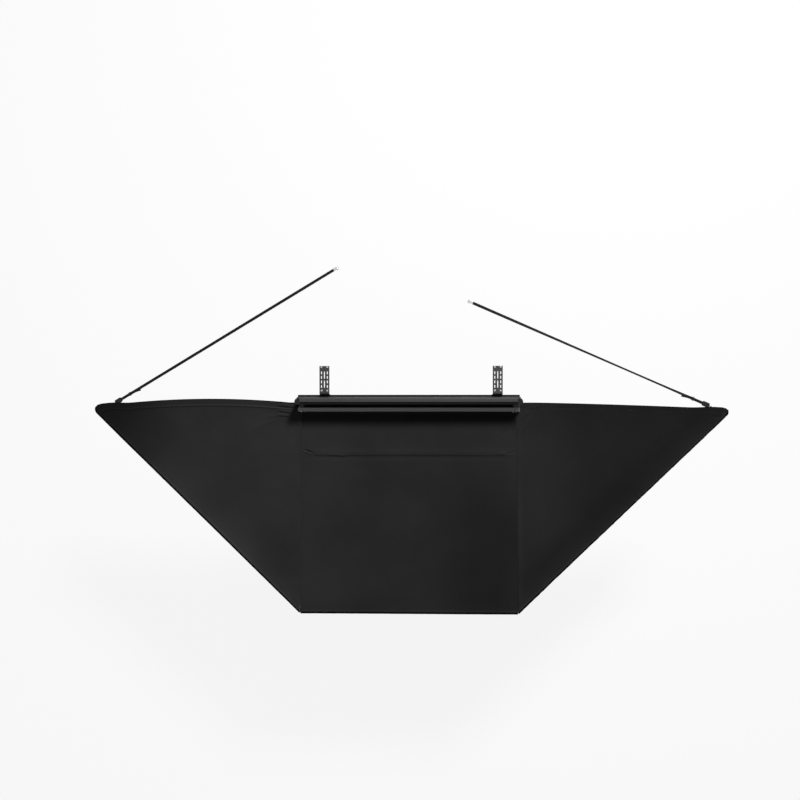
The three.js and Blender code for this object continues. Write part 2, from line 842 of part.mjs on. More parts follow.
// Straps, built straight along X from the anchor to the hook
function buckleGeometry() {
  const half = buckleWidth / 2;
  const back = ringRadius * 2 + tabRadius;
  const body = alongY(outline([
    [back, -buckleHeight / 2],
    [back + buckleLength, -buckleHeight * buckleNoseShare],
    [back + buckleLength, buckleHeight * buckleLipShare],
    [back + buckleLength / 2, buckleHeight / 2],
    [back, buckleHeight / 2],
  ]), -half, half);
  const tab = alongZ(outline([
    [back + tabRadius, -tabRadius],
    [back + tabRadius, tabRadius],
    ...arc(ringRadius * 2, 0, tabRadius, Math.PI / 2, Math.PI * 1.5, roundSteps),
  ]), -tabThickness / 2, tabThickness / 2);
  const hole = post(tabHole, -overrun, overrun, roundSteps).translate(ringRadius * 2, 0, 0);
  return cut(fuse(body, tab), hole);
}

function ringGeometry() {
  return new THREE.TorusGeometry(ringRadius, ringWire, wireSides, ringSteps)
    .rotateX(Math.PI / 2).translate(ringRadius, 0, 0);
}

function sliderGeometry() {
  const half = strapWidth / 2 + sliderWall;
  const thick = strapThickness / 2 + sliderWall;
  const slot = strapThickness / 2 + sitGap * 2;
  return cut(
    box(sliderPlace, sliderPlace + sliderLength, -half, half, -thick, thick),
    box(
      sliderPlace - overrun, sliderPlace + sliderLength + overrun,
      -strapWidth / 2 - sitGap, strapWidth / 2 + sitGap, -slot, slot,
    ),
  );
}

// The webbing lies flat at both ends and turns edge up in between
function webbingGeometry(start, end) {
  const under = [];
  const over = [];
  const twistStart = sliderPlace + sliderLength * 2;
  for (const share of [-1, ...evenShares(strapSteps)]) {
    const x = share < 0 ? start : twistStart + (end - twistStart) * share;
    const turned = Math.sin(Math.PI * Math.sqrt(Math.max(0, share)));
    const angle = THREE.MathUtils.degToRad(twistDegrees) * turned;
    const across = new THREE.Vector3(0, Math.cos(angle), Math.sin(angle)).multiplyScalar(strapWidth / 2);
    const lift = new THREE.Vector3(0, -Math.sin(angle), Math.cos(angle)).multiplyScalar(strapThickness / 2);
    const middle = new THREE.Vector3(x, 0, 0);
    under.push([-1, 1].map((k) => middle.clone().addScaledVector(across, k).sub(lift)));
    over.push([-1, 1].map((k) => middle.clone().addScaledVector(across, k).add(lift)));
  }
  return closedSheet(under, over);
}

function hookGeometry(start) {
  const bend = start + hookLength;
  const inner = hookRadius - hookThickness;
  const drop = -hookRadius + hookThickness / 2;
  const tipAngle = -Math.PI * 2 * hookTipShare;
  const shape = outline([
    [start, -hookThickness / 2],
    [bend, -hookThickness / 2],
    ...arc(bend, drop, inner, Math.PI / 2, tipAngle, roundSteps),
    ...arc(bend, drop, hookRadius, tipAngle, Math.PI / 2, roundSteps),
    [start, hookThickness / 2],
  ]);
  return alongY(shape, -strapWidth / 2, strapWidth / 2);
}

function buildStrap(side, arm, anchor, hook) {
  const word = side < 0 ? 'left' : 'right';
  caseGroup.updateWorldMatrix(true, true);
  const start = caseGroup.worldToLocal(arm.localToWorld(anchor.clone()));
  const end = new THREE.Vector3(hook.x, hook.y, rackTop + ridgeLevel);
  const along = end.clone().sub(start);
  const length = along.length();
  const strap = new THREE.Group();
  strap.position.copy(start);
  const across = new THREE.Vector3(0, 0, 1).cross(along).normalize();
  const up = along.clone().cross(across).normalize();
  const basis = new THREE.Matrix4().makeBasis(along.clone().normalize(), across, up);
  strap.quaternion.setFromRotationMatrix(basis);
  caseGroup.add(strap);
  const webStart = ringRadius * 2 + tabRadius + buckleLength + sitGap;
  const webEnd = length - hookLength - sitGap;
  add(strap, `strap_ring_${word}`, ringGeometry(), brightSteel);
  add(strap, `strap_buckle_${word}`, buckleGeometry(), blackPlastic);
  add(strap, `strap_slider_${word}`, sliderGeometry(), blackPlastic);
  add(strap, `strap_webbing_${word}`, webbingGeometry(webStart, webEnd), webbing);
  add(strap, `strap_hook_${word}`, hookGeometry(webEnd + sitGap), brightSteel);
}

// Slotted L bracket: a leg on the ridge's rear face and a plate towards the vehicle
function plateOutline() {
  const top = ridgeLevel + plateRise;
  const bottom = ridgeLevel - legDrop;
  const rear = sitGap + plateThickness;
  return outline([
    [sitGap, bottom],
    [rear, bottom],
    ...arc(rear + plateBend, top - plateThickness - plateBend, plateBend, Math.PI, Math.PI / 2, roundSteps),
    [plateReach, top - plateThickness],
    [plateReach, top],
    ...arc(
      rear + plateBend, top - plateThickness - plateBend, plateBend + plateThickness,
      Math.PI / 2, Math.PI, roundSteps,
    ),
  ]);
}

function slotTool(x, y, length) {
  const half = length / 2 - cutWidth / 2;
  const shape = outline([
    ...arc(x, y + half, cutWidth / 2, 0, Math.PI, roundSteps / 2),
    ...arc(x, y - half, cutWidth / 2, Math.PI, Math.PI * 2, roundSteps / 2),
  ]);
  return alongZ(shape, ridgeLevel, ridgeLevel + plateRise + overrun);
}

// Steps of one, evenly to both sides of zero
function evenSteps(count) {
  return Array.from({ length: count }, (_, i) => i - (count - 1) / 2);
}

function plateCuts(centreX) {
  const tools = [];
  for (const side of [-1, 1]) {
    const x = centreX + (side * boltSpread) / 2;
    for (const step of evenSteps(shortCutCount)) {
      tools.push(slotTool(x, cutMiddle + step * cutPitch, shortCut));
    }
    for (const y of [boltNear, boltFar]) {
      const holeTop = ridgeLevel + plateRise + overrun;
      const hole = post(boltRadius + boltClearance, ridgeLevel, holeTop, roundSteps);
      tools.push(hole.translate(x, y, 0));
    }
    const legHole = post(boltRadius + boltClearance, -overrun, overrun, roundSteps);
    tools.push(legHole.rotateX(Math.PI / 2).translate(x, 0, ridgeLevel));
  }
  for (const step of evenSteps(longCutCount)) {
    tools.push(slotTool(centreX, cutMiddle + step * longCutPitch, longCut));
  }
  return tools;
}

function plateBolt(x, y) {
  const seat = ridgeLevel + plateRise + sitGap;
  const head = seat + washerThickness;
  return fuse(
    post(washerRadius, seat, head, hookSteps),
    post(boltHeadRadius, head, head + boltHeadHeight, hexSides),
    post(boltRadius, seat - plateThickness - boltTail, head, roundSteps),
  ).translate(x, y, 0);
}

// Its head lies in the ridge's slot and its nut on the bracket's leg
function ridgeBolt(x) {
  const headSeat = -slotLip - sitGap;
  const washerSeat = sitGap + plateThickness + sitGap;
  const nutSeat = washerSeat + washerThickness;
  const threadEnd = nutSeat + boltHeadHeight * (1 + threadEndShare);
  const bolt = fuse(
    post(boltHeadRadius, headSeat - boltHeadHeight, headSeat, hexSides),
    post(boltRadius, headSeat - boltHeadHeight / 2, threadEnd, roundSteps),
    post(washerRadius, washerSeat, nutSeat, hookSteps),
    post(boltHeadRadius, nutSeat, nutSeat + boltHeadHeight, hexSides),
  );
  return bolt.rotateX(-Math.PI / 2).translate(x, 0, ridgeLevel);
}

function buildPlate(side, word) {
  const x = plateShift + (side * plateSpacing) / 2;
  const plate = alongX(plateOutline(), x - plateWidth / 2, x + plateWidth / 2);
  add(caseGroup, `mount_plate_${word}`, cut(plate, ...plateCuts(x)), darkMetal);
  const spots = [-1, 1].map((shift) => x + (shift * boltSpread) / 2);
  spots.forEach((spot, i) => {
    add(caseGroup, `plate_bolt_${word}_near_${i + 1}`, plateBolt(spot, boltNear), brightSteel);
    add(caseGroup, `plate_bolt_${word}_far_${i + 1}`, plateBolt(spot, boltFar), brightSteel);
    add(caseGroup, `ridge_bolt_${word}_${i + 1}`, ridgeBolt(spot), brightSteel);
  });
}

buildBase();
buildBaseEnd(-1, 'case_end_left');
buildBaseEnd(1, 'case_end_right');
buildLid();
buildRail();
buildCentre();
for (const [side, word] of [[-1, 'left'], [1, 'right']]) {
  buildBracket(side, `pivot_bracket_${word}`);
  buildBracketBolts(side, word);
  buildRailScrew(side, word);
  const pivot = buildPin(side, `pivot_pin_${word}`);
  const frontDegrees = -90 + side * frontSplayDegrees;
  const sideDegrees = side < 0 ? 180 + sideSweepDegrees : -sideSweepDegrees;
  buildArm(pivot, `${word}_front_arm`, frontDegrees, side < 0 ? 0 : 1);
  const sideArm = buildArm(pivot, `${word}_side_arm`, sideDegrees, side < 0 ? 2 : 3);
  const reach = side < 0 ? leftAnchorReach : rightAnchorReach;
  const anchor = buildAnchor(sideArm, `strap_anchor_${word}`, reach, side);
  buildStrap(side, sideArm, anchor, side < 0 ? leftHook : rightHook);
  buildWing(side, `canopy_wing_${word}`);
  buildPlate(side, word);
}

export default awning;
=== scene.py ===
import json
from functools import partial
from math import atan2, cos, pi, radians, sin, sqrt

import bmesh
import bpy
import numpy as np
from mathutils import Matrix, Vector


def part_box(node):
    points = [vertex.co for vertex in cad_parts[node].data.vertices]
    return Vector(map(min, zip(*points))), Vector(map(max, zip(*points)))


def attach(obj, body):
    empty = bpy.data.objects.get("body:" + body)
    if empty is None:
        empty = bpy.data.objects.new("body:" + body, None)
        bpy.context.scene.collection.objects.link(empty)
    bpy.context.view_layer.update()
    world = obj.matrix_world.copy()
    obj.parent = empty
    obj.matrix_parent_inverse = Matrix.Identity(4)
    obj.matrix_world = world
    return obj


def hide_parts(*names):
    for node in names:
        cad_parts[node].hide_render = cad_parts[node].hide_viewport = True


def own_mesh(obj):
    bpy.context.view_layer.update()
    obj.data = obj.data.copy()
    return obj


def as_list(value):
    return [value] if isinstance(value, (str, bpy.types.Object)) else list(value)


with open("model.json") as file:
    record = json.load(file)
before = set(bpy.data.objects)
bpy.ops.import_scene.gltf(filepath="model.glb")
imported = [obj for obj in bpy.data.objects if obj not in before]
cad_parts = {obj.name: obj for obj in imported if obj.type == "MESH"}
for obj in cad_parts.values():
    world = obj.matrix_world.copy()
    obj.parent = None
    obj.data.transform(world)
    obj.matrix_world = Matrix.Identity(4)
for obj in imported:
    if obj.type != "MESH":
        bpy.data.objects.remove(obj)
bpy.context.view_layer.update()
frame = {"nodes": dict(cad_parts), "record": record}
nodes = frame["nodes"]
body_of = {n: b for b, names in frame["record"]["behaviour"]["bodies"].items() for n in names}

SIDES = ((-1, "left"), (1, "right"))


def put(name, data):
    """A new object in the scene."""
    made = bpy.data.objects.new(name, data)
    bpy.context.scene.collection.objects.link(made)
    return made


def feed(socket, source):
    """Links another node's socket to this one, or sets it to a constant."""
    if isinstance(source, bpy.types.NodeSocket):
        socket.id_data.links.new(source, socket)
    else:
        socket.default_value = source


def add_node(tree, kind, sources=None, **values):
    made = tree.nodes.new(kind)
    for key, value in values.items():
        setattr(made, key, value)
    for socket, source in (sources or {}).items():
        feed(made.inputs[socket], source)
    return made


# The view: straight down, from high above
SENSOR_WIDTH, LENS = 36.0, 33.075
CAMERA_PLACE, CAMERA_TURN = (0.0554, 0.0539, 6.5541), (-0.0153, 0.0201, -0.0006)
camera_data = bpy.data.cameras.new("view")
camera_data.sensor_width, camera_data.lens = SENSOR_WIDTH, LENS
camera = put("view", camera_data)
camera.location, camera.rotation_euler = CAMERA_PLACE, CAMERA_TURN
bpy.context.scene.camera = camera


class Look:
    """A procedural node material, worked out in the object's own metres."""

    def __init__(self, name, color, rough, metallic=0.0, **constants):
        self.material = bpy.data.materials.new(name)
        self.material.use_nodes = True
        self.tree = self.material.node_tree
        self.shader = self.tree.nodes["Principled BSDF"]
        constants |= {"Base_Color": color, "Roughness": rough, "Metallic": metallic}
        for socket, value in constants.items():
            feed(self.shader.inputs[socket.replace("_", " ")], value)
        self.place = self.node("ShaderNodeTexCoord").outputs["Object"]

    def node(self, kind, sources=None, **values):
        return add_node(self.tree, kind, sources, **values)

    def finish(self, color, rough, normal):
        """Links the maps given, and returns the material."""
        for socket, source in (("Base Color", color), ("Roughness", rough), ("Normal", normal)):
            if source is not None:
                feed(self.shader.inputs[socket], source)
        return self.material

    def noise(self, scale, detail=4.0, stretch=(1, 1, 1), place=None, rough=0.5):
        spot = self.node("ShaderNodeMapping", {"Vector": place or self.place, "Scale": stretch})
        return self.node("ShaderNodeTexNoise", {
            "Vector": spot.outputs[0], "Scale": scale, "Detail": detail, "Roughness": rough,
        }).outputs["Fac"]

    def wave(self, scale, direction, place=None, distortion=0.0, turn=0.0):
        spot = self.node("ShaderNodeMapping", {"Vector": place or self.place, "Rotation": (0, 0, turn)})
        return self.node(
            "ShaderNodeTexWave", {"Vector": spot.outputs[0], "Scale": scale, "Distortion": distortion},
            wave_type="BANDS", bands_direction=direction,
        ).outputs["Fac"]

    def math(self, operation, a, b=0.0, c=0.0, clamp=False):
        made = self.node("ShaderNodeMath", {0: a, 1: b, 2: c}, operation=operation, use_clamp=clamp)
        return made.outputs[0]

    def vector(self, operation, a, b, output="Vector"):
        return self.node("ShaderNodeVectorMath", {0: a, 1: b}, operation=operation).outputs[output]

    def ramp(self, value, low, high, to_low=0.0, to_high=1.0):
        return self.node("ShaderNodeMapRange", {
            "Value": value, "From Min": low, "From Max": high, "To Min": to_low, "To Max": to_high,
        }).outputs["Result"]

    def tint(self, factor, a, b):
        """A mix of two colours, which are the node's inputs 6 and 7."""
        return self.node("ShaderNodeMix", {0: factor, 6: a, 7: b}, data_type="RGBA").outputs[2]

    def bump(self, height, distance, strength=1.0, under=None):
        made = self.node("ShaderNodeBump", {"Height": height, "Distance": distance, "Strength": strength})
        if under is not None:
            feed(made.inputs["Normal"], under)
        return made.outputs["Normal"]

    def soft_edge(self, radius):
        return self.node("ShaderNodeBevel", {"Radius": radius}, samples=4).outputs[0]

    def toned(self, base):
        """The colour scaled by the mesh's own attribute, tone, which also carries painted light and shade."""
        tone = self.node("ShaderNodeAttribute", attribute_name="tone").outputs["Fac"]
        return self.node("ShaderNodeHueSaturation", {"Value": tone, "Color": base}).outputs[0]


def grey(level, blue):
    return level, level, blue, 1.0


def shade(color, factor):
    return (*(c * factor for c in color[:3]), 1.0)


def fabric(name, color, seed):
    """Coated canvas: fine square weave with slubs, soft blotches and creases from being packed."""
    look = Look(name, color, 0.9, Sheen_Weight=0.03, Sheen_Roughness=0.5, Specular_IOR_Level=0.08)
    warp = look.wave(240, "X", distortion=0.6)
    weft = look.wave(240, "Y", distortion=0.6)
    checker = look.math("MAXIMUM", warp, weft)
    slub = look.noise(90, 2.0, (1, 14, 1))
    slub_across = look.noise(80, 2.0, (14, 1, 1))
    threads = look.math("MULTIPLY_ADD", look.math("ADD", slub, slub_across), 0.35, checker)
    spot = look.vector("ADD", look.place, (seed, seed * 2, 0))
    cloud = look.noise(1.7, 5.0, place=spot)
    blotch = look.noise(14, 6.0, place=spot, rough=0.65)
    base = look.tint(look.ramp(cloud, 0.36, 0.64), shade(color, 0.8), shade(color, 1.17))
    base = look.tint(look.ramp(blotch, 0.35, 0.75, 0, 0.5), base, shade(color, 1.22))
    base = look.tint(look.ramp(threads, 0.6, 1.4, 0, 0.35), base, shade(color, 0.72))
    crumple = look.noise(9, 5.0, place=spot, rough=0.6)
    soft = look.bump(crumple, 0.004, 0.5)
    rough = look.ramp(blotch, 0.3, 0.8, 0.86, 0.98)
    return look.finish(look.toned(base), rough, look.bump(threads, 0.00035, 0.55, soft))


def webbing(name, color):
    """Woven polyester webbing with a herringbone rib; u runs along and v across the band."""
    look = Look(name, color, 0.75, Sheen_Weight=0.03, Specular_IOR_Level=0.12)
    uv = look.node("ShaderNodeUVMap", uv_map="band").outputs[0]
    rib = look.wave(150, "Y", place=uv)
    twill = look.math("MAXIMUM", *(look.wave(120, "X", place=uv, turn=turn) for turn in (0.7, -0.7)))
    weave = look.math("ADD", look.math("MULTIPLY", rib, 0.6), twill)
    base = look.tint(look.ramp(weave, 0.3, 1.5), shade(color, 0.6), shade(color, 1.25))
    base = look.tint(look.ramp(look.noise(25, 4), 0.4, 0.8, 0, 0.5), base, shade(color, 1.6))
    return look.finish(base, None, look.bump(weave, 0.0004, 0.6))


def coated(name, color, rough, metallic=0.55, brush=None, worn=1.7, toned=False, gloss=0.3):
    """Satin coated metal: fine orange peel, faint drawn lines and edges rubbed a little brighter."""
    look = Look(name, color, rough, metallic, Specular_IOR_Level=gloss)
    peel = look.noise(650, 2.0)
    smudge = look.noise(11, 5.0, rough=0.6)
    base = look.tint(look.ramp(smudge, 0.35, 0.7), shade(color, 0.9), shade(color, 1.1))
    edge = look.soft_edge(0.0012)
    flat = look.node("ShaderNodeNewGeometry").outputs["Normal"]
    turned = look.ramp(look.vector("DOT_PRODUCT", edge, flat, "Value"), 0.995, 0.9)
    rubbed = look.math("MULTIPLY", turned, look.ramp(look.noise(60, 4), 0.42, 0.62), clamp=True)
    base = look.tint(look.math("MULTIPLY", rubbed, 0.6), base, shade(color, worn))
    height = look.math("MULTIPLY_ADD", look.noise(300, 2.0, brush), 1.5, peel) if brush else peel
    return look.finish(
        look.toned(base) if toned else base,
        look.ramp(smudge, 0.3, 0.75, rough * 0.85, rough * 1.2), look.bump(height, 0.00012, 0.35, edge))


def moulded(name, color, rough, grain=900, gloss=0.35):
    """Moulded plastic or rubber with a fine spark grain."""
    look = Look(name, color, rough, 0.0, Specular_IOR_Level=gloss)
    spark = look.noise(grain, 3.0)
    cloud = look.noise(20, 4.0)
    return look.finish(
        look.tint(look.ramp(cloud, 0.35, 0.7), shade(color, 0.85), shade(color, 1.2)),
        look.ramp(cloud, 0.3, 0.8, rough * 0.9, min(1.0, rough * 1.15)),
        look.bump(spark, 0.0002, 0.3, look.soft_edge(0.0008)))


def steel(name, color, rough):
    """Stainless fastener steel with turned rings of fine scratches and a few darker stains."""
    look = Look(name, color, rough, 1.0)
    scratch = look.noise(900, 2.0, (1, 1, 6))
    stain = look.noise(120, 4.0)
    return look.finish(
        look.tint(look.ramp(stain, 0.45, 0.75), color, shade(color, 0.72)),
        look.ramp(scratch, 0.3, 0.7, rough * 0.75, rough * 1.4),
        look.bump(scratch, 0.00006, 0.3, look.soft_edge(0.0006)))


# How the fine lines in a coating are stretched: along an extrusion, or not at all
DRAWN, UNDRAWN = (1, 60, 60), (1, 1, 1)
# Three copies of one cloth, lightest on the left wing and darkest on the right: painted light and shade
# across the canopy
cloth_left = fabric("cloth_left", grey(0.0235, 0.024), 0.0)
cloth_centre = fabric("cloth_centre", grey(0.0195, 0.02), 3.1)
cloth_right = fabric("cloth_right", grey(0.0185, 0.019), 7.7)
thread_look = moulded("thread", grey(0.035, 0.036), 0.7, 2500)
tape_look = moulded("edge_tape", grey(0.0035, 0.0036), 0.9, 600, 0.02)
strap_look = webbing("strap_webbing", grey(0.0048, 0.005))
lid_look = coated("lid_coating", grey(0.046, 0.0472), 0.62, 0.25, DRAWN, toned=True, gloss=0.15)
# Painted light: the rail's coating is lighter than the lid's, so that it stays bright in the lid's shade
rail_look = coated("rail_coating", grey(0.108, 0.11), 0.45, 0.4, DRAWN)
# Painted shade: the case's coating is darkened to near black, standing in for the shade over it
base_look = coated("case_coating", grey(0.0085, 0.0088), 0.6, 0.0, DRAWN, gloss=0.1)
cast = coated("dark_coated_metal", grey(0.03, 0.031), 0.5)
arm_look = coated("arm_coating", grey(0.026, 0.027), 0.45, brush=UNDRAWN)
plate_look = coated("bracket_coating", grey(0.04, 0.041), 0.5, worn=2.6)
bolt_steel = steel("stainless", grey(0.52, 0.51), 0.26)
dark_steel = steel("dark_stainless", grey(0.055, 0.056), 0.42)
black = moulded("black_plastic", grey(0.0065, 0.0068), 0.5, gloss=0.2)
rubber = moulded("seal_rubber", grey(0.006, 0.006), 0.85, 500, 0.06)
# Painted shade: the end caps are darkened to near black, standing in for the shade on the lid's end
cap_look = moulded("cap_plastic", grey(0.006, 0.0063), 0.55, 700, 0.18)


SLOT_OF = {look.name: slot for slot, looks in {
    "canopy_fabric": (cloth_left, cloth_centre, cloth_right, thread_look, tape_look),
    "strap_webbing": (strap_look,), "seal_rubber": (rubber,), "black_plastic": (black, cap_look),
    "coated_aluminium": (lid_look, rail_look, base_look), "stainless": (bolt_steel, dark_steel),
    "dark_coated_metal": (cast, arm_look, plate_look),
}.items() for look in looks}


def mesh_object(name, points, faces, look, smooth=True):
    data = bpy.data.meshes.new(name)
    data.from_pydata([tuple(p) for p in points], [], [tuple(f) for f in faces])
    data.validate()
    data.update()
    data.materials.append(look)
    data.polygons.foreach_set("use_smooth", [smooth] * len(data.polygons))
    piece = put(name, data)
    return piece


def ring_faces(rings, n):
    """Faces between rings of n points each, and over both ends."""
    faces = [(k * n + i, k * n + (i + 1) % n, (k + 1) * n + (i + 1) % n, (k + 1) * n + i)
             for k in range(rings - 1) for i in range(n)]
    return faces + [tuple(range(n - 1, -1, -1)), tuple(range((rings - 1) * n, rings * n))]


def face_outward(data):
    bm = bmesh.new()
    bm.from_mesh(data)
    bmesh.ops.recalc_face_normals(bm, faces=bm.faces)
    bm.to_mesh(data)
    bm.free()


def set_tone(data, values):
    tone = data.attributes.new("tone", "FLOAT", "POINT")
    tone.data.foreach_set("value", np.ravel(values).astype(np.float32))


# Straps: the two ends of each one's straight line, from the arm's tab to the hook, and its fittings.
# The sizes repeat the solids' own, in metres.
STRAPS = {
    "left": ((-2.65524, -0.0803, -0.01401), (-0.63, 1.118, 0.075)),
    "right": ((2.67224, -0.10566, 0.00569), (0.535, 0.82, 0.075)),
}
BAND, BAND_THICK = 0.025, 0.0016
RING, TAB, BUCKLE = 0.007, 0.0062, 0.062
SLIDER_AT, SLIDER, HOOK = 0.165, 0.02, 0.034
GAP = 0.0003
TWIST = {"left": radians(18), "right": radians(44)}


def strap_frame(side):
    start, end = (Vector(p) for p in STRAPS[side])
    along = end - start
    across = Vector((0, 0, 1)).cross(along).normalized()
    return start, along.normalized(), across, along.cross(across).normalized(), along.length


def ring_of_band(count=9):
    """Points round a band's section, thinner towards its edges."""
    top = [-BAND / 2 + BAND * i / (count - 1) for i in range(count)]
    crown = [BAND_THICK / 2 * (1 - 0.55 * abs(2 * y / BAND) ** 8) for y in top]
    return [(y, z) for y, z in zip(top, crown)] + [(y, -z) for y, z in zip(top[::-1], crown[::-1])]


def band_mesh(name, stations):
    """Webbing along stations of (point, across, up); its UV map runs along and across it."""
    section = ring_of_band()
    n, run, distance = len(section), 0.0, []
    for i, (point, across, up) in enumerate(stations):
        run += (point - stations[i - 1][0]).length if i else 0.0
        distance.append(run)
    points = [point + across * y + up * z for point, across, up in stations for y, z in section]
    piece = mesh_object(name, points, ring_faces(len(stations), n), strap_look)
    layer = piece.data.uv_layers.new(name="band")
    for loop in piece.data.loops:
        i, j = divmod(loop.vertex_index, n)
        layer.data[loop.index].uv = (distance[i], section[j][0])
    face_outward(piece.data)
    return piece


def web_stations(side, steps=190):
    """Stations from buckle to hook. Beyond the slider the band turns on itself and back."""
    start, along, across, up, length = strap_frame(side)
    first, last = 2 * RING + TAB + BUCKLE + GAP, length - HOOK - GAP
    twist_at = SLIDER_AT + 2 * SLIDER
    stations = []
    for i in range(steps + 1):
        x = first + (last - first) * i / steps
        share = max(0.0, (x - twist_at) / (last - twist_at))
        angle = TWIST[side] * sin(pi * sqrt(share))
        turned = across * cos(angle) + up * sin(angle)
        lifted = up * cos(angle) - across * sin(angle)
        stations.append((start + along * x, turned, lifted))
    return stations


webs = {}
for side in ("left", "right"):
    stations = web_stations(side)
    webs[side] = (band_mesh(f"strap_band_{side}", stations), [point for point, across, up in stations])


def dress(node, look, bevel, segments):
    """A rigid piece: the CAD solid's own shape with its edges broken, so that they catch the light."""
    bm = bmesh.new()
    bm.from_mesh(nodes[node].data)
    bmesh.ops.remove_doubles(bm, verts=bm.verts, dist=1e-6)
    bmesh.ops.dissolve_limit(bm, angle_limit=radians(0.8), verts=bm.verts, edges=bm.edges)
    data = bpy.data.meshes.new(f"{node}_body")
    bm.to_mesh(data)
    bm.free()
    data.materials.clear()
    data.materials.append(look)
    piece = put(data.name, data)
    edge = piece.modifiers.new("edge", "BEVEL")
    edge.width, edge.segments, edge.limit_method = bevel, segments, "ANGLE"
    edge.angle_limit = radians(28)
    piece.modifiers.new("flat", "WEIGHTED_NORMAL").keep_sharp = True
    piece.data.polygons.foreach_set("use_smooth", [True] * len(piece.data.polygons))
    piece.data.set_sharp_from_angle(angle=radians(50))
    done = bpy.data.meshes.new_from_object(piece.evaluated_get(bpy.context.evaluated_depsgraph_get()))
    piece.modifiers.clear()
    piece.data = done
    piece.data.name = piece.name
    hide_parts(node)
    return piece


def lathe(profile, place, direction, steps):
    """Points and faces of a turned piece: profile of (radius, height) from foot to top."""
    turn = Vector((0, 0, 1)).rotation_difference(Vector(direction)).to_matrix()
    round_it = [(cos(2 * pi * i / steps), sin(2 * pi * i / steps)) for i in range(steps)]
    points = [Vector(place) + turn @ Vector((r * c, r * d, h)) for r, h in profile for c, d in round_it]
    return points, ring_faces(len(profile), steps)


def many(parts):
    """Several sets of points and faces as one."""
    points, faces = [], []
    for some, rows in parts:
        faces += [tuple(i + len(points) for i in row) for row in rows]
        points += some
    return points, faces


def block(centre, axes, sizes, round_share=0.18):
    """A block with chamfered edges, in any three axes."""
    bm = bmesh.new()
    bmesh.ops.create_cube(bm, size=1.0)
    for v in bm.verts:
        v.co = Vector(c * s for c, s in zip(v.co, sizes))
    offset = min(sizes) * round_share
    bmesh.ops.bevel(bm, geom=bm.edges[:], offset=offset, segments=2, affect="EDGES", profile=0.6)
    turn = Matrix(axes).transposed()
    points = [Vector(centre) + turn @ v.co for v in bm.verts]
    faces = [tuple(v.index for v in f.verts) for f in bm.faces]
    bm.free()
    return points, faces


# Canopy. Three panels on the same curved surface: cloth runs from the rail and the side arms to
# the front hem and dips between them. Positions repeat the solids' own formulas, in metres.
TILT, SWING, RIDGE = radians(3), 0.088, 0.078
LAYER_TOP = (0.031, 0.052, 0.073, 0.094)
CLOTH_LEVEL, LIFT, CLOTH = 0.0965, 0.0005, 0.0015
PIVOT_X, STAGGER = 0.95, 0.012
SPLAY, SWEEP = radians(1.5), radians(1)
SIDE_REACH, FRONT_REACH = 1.905, {-1: 1.925, 1: 1.893}
FOLD, CENTRE_SAG, WING_SAG, SEAM = 0.007, 0.045, 0.05, 0.0006
BORE_Y, BORE_LEVEL, BEND, BEAD_HALF, CORD = -0.138, 0.1141, 0.012, 0.919, 0.0042
SEAM_START, EDGE_START_X, EDGE_START_V = 0.082, 0.996, 0.017
HALF_SHEET = 0.0006


def swing_points(x, v, w):
    """Points in the frame, from x, distance and level in the arms' tilted plane."""
    y = -SWING + v * cos(TILT) - w * sin(TILT)
    return np.stack([x + 0 * y, y, v * sin(TILT) + w * cos(TILT) - RIDGE], -1)


def hollow(s):
    """A dip's share of its depth: none at either end, all of it midway."""
    return 16 * s ** 2 * (1 - s) ** 2


def ease(s):
    return s ** 2 * (3 - 2 * s)


def unit(s):
    return np.clip(s, 0, 1)


def rise(s):
    return ease(unit(s))


def bell(s):
    return np.exp(-(s ** 2))


def front_seam(side, share, out):
    """The edge over the front arm of a wing (out 1) or the centre (out -1): x, distance, level."""
    pivot = -side * STAGGER
    start = (SEAM_START + pivot) / cos(SPLAY)
    along = start + (FRONT_REACH[side] - start) * share
    end = LAYER_TOP[0 if side < 0 else 1] + LIFT
    return (side * (PIVOT_X + along * sin(SPLAY) + out * SEAM / 2), pivot - along * cos(SPLAY),
            CLOTH_LEVEL + (end - CLOTH_LEVEL) * share)


def outer_edge(side, share):
    """A wing's edge along the side arm. It bows out, and turns in again at the arm's tip."""
    pivot = -side * STAGGER
    end = LAYER_TOP[2 if side < 0 else 3] + LIFT
    run_x = PIVOT_X + SIDE_REACH * cos(SWEEP) - EDGE_START_X
    run_v = pivot - SIDE_REACH * sin(SWEEP) - EDGE_START_V
    bow = unit(4 * share * (1 - share))
    tip = rise((share - 0.8) / 0.12) * rise((1.0 - share) / 0.03)
    bulge = 0.056 * bow + 0.02 * tip if side < 0 else 0.014 * bow ** 0.4 + 0.014 * tip
    return (side * (EDGE_START_X + run_x * share), EDGE_START_V + run_v * share + bulge,
            CLOTH_LEVEL + (end - CLOTH_LEVEL) * share)


def smooth_noise(x, y, cell, seed):
    """Value noise of unit range on a fixed lattice."""
    u, v = x / cell, y / cell
    i, j = np.floor(u).astype(int), np.floor(v).astype(int)
    fu, fv = ease(u - i), ease(v - j)

    def corner(a, b):
        h = np.sin(a * 127.1 + b * 311.7 + seed * 74.7) * 43758.5453
        return (h - np.floor(h)) * 2 - 1

    low = corner(i, j) * (1 - fu) + corner(i + 1, j) * fu
    high = corner(i, j + 1) * (1 - fu) + corner(i + 1, j + 1) * fu
    return low * (1 - fv) + high * fv


def creases(x, y, lines):
    """Narrow ridges, or furrows where the height is negative, along short lines in plan."""
    total = np.zeros_like(x)
    for line in lines:
        ax, ay, bx, by, width, height = (v / 1000 for v in line)
        dx, dy = bx - ax, by - ay
        t = ((x - ax) * dx + (y - ay) * dy) / (dx * dx + dy * dy)
        s = unit(t)
        away = np.hypot(x - ax - dx * s, y - ay - dy * s)
        total += height * bell(away / width) * unit(4 * s * (1 - s) + 0.35)
    return total


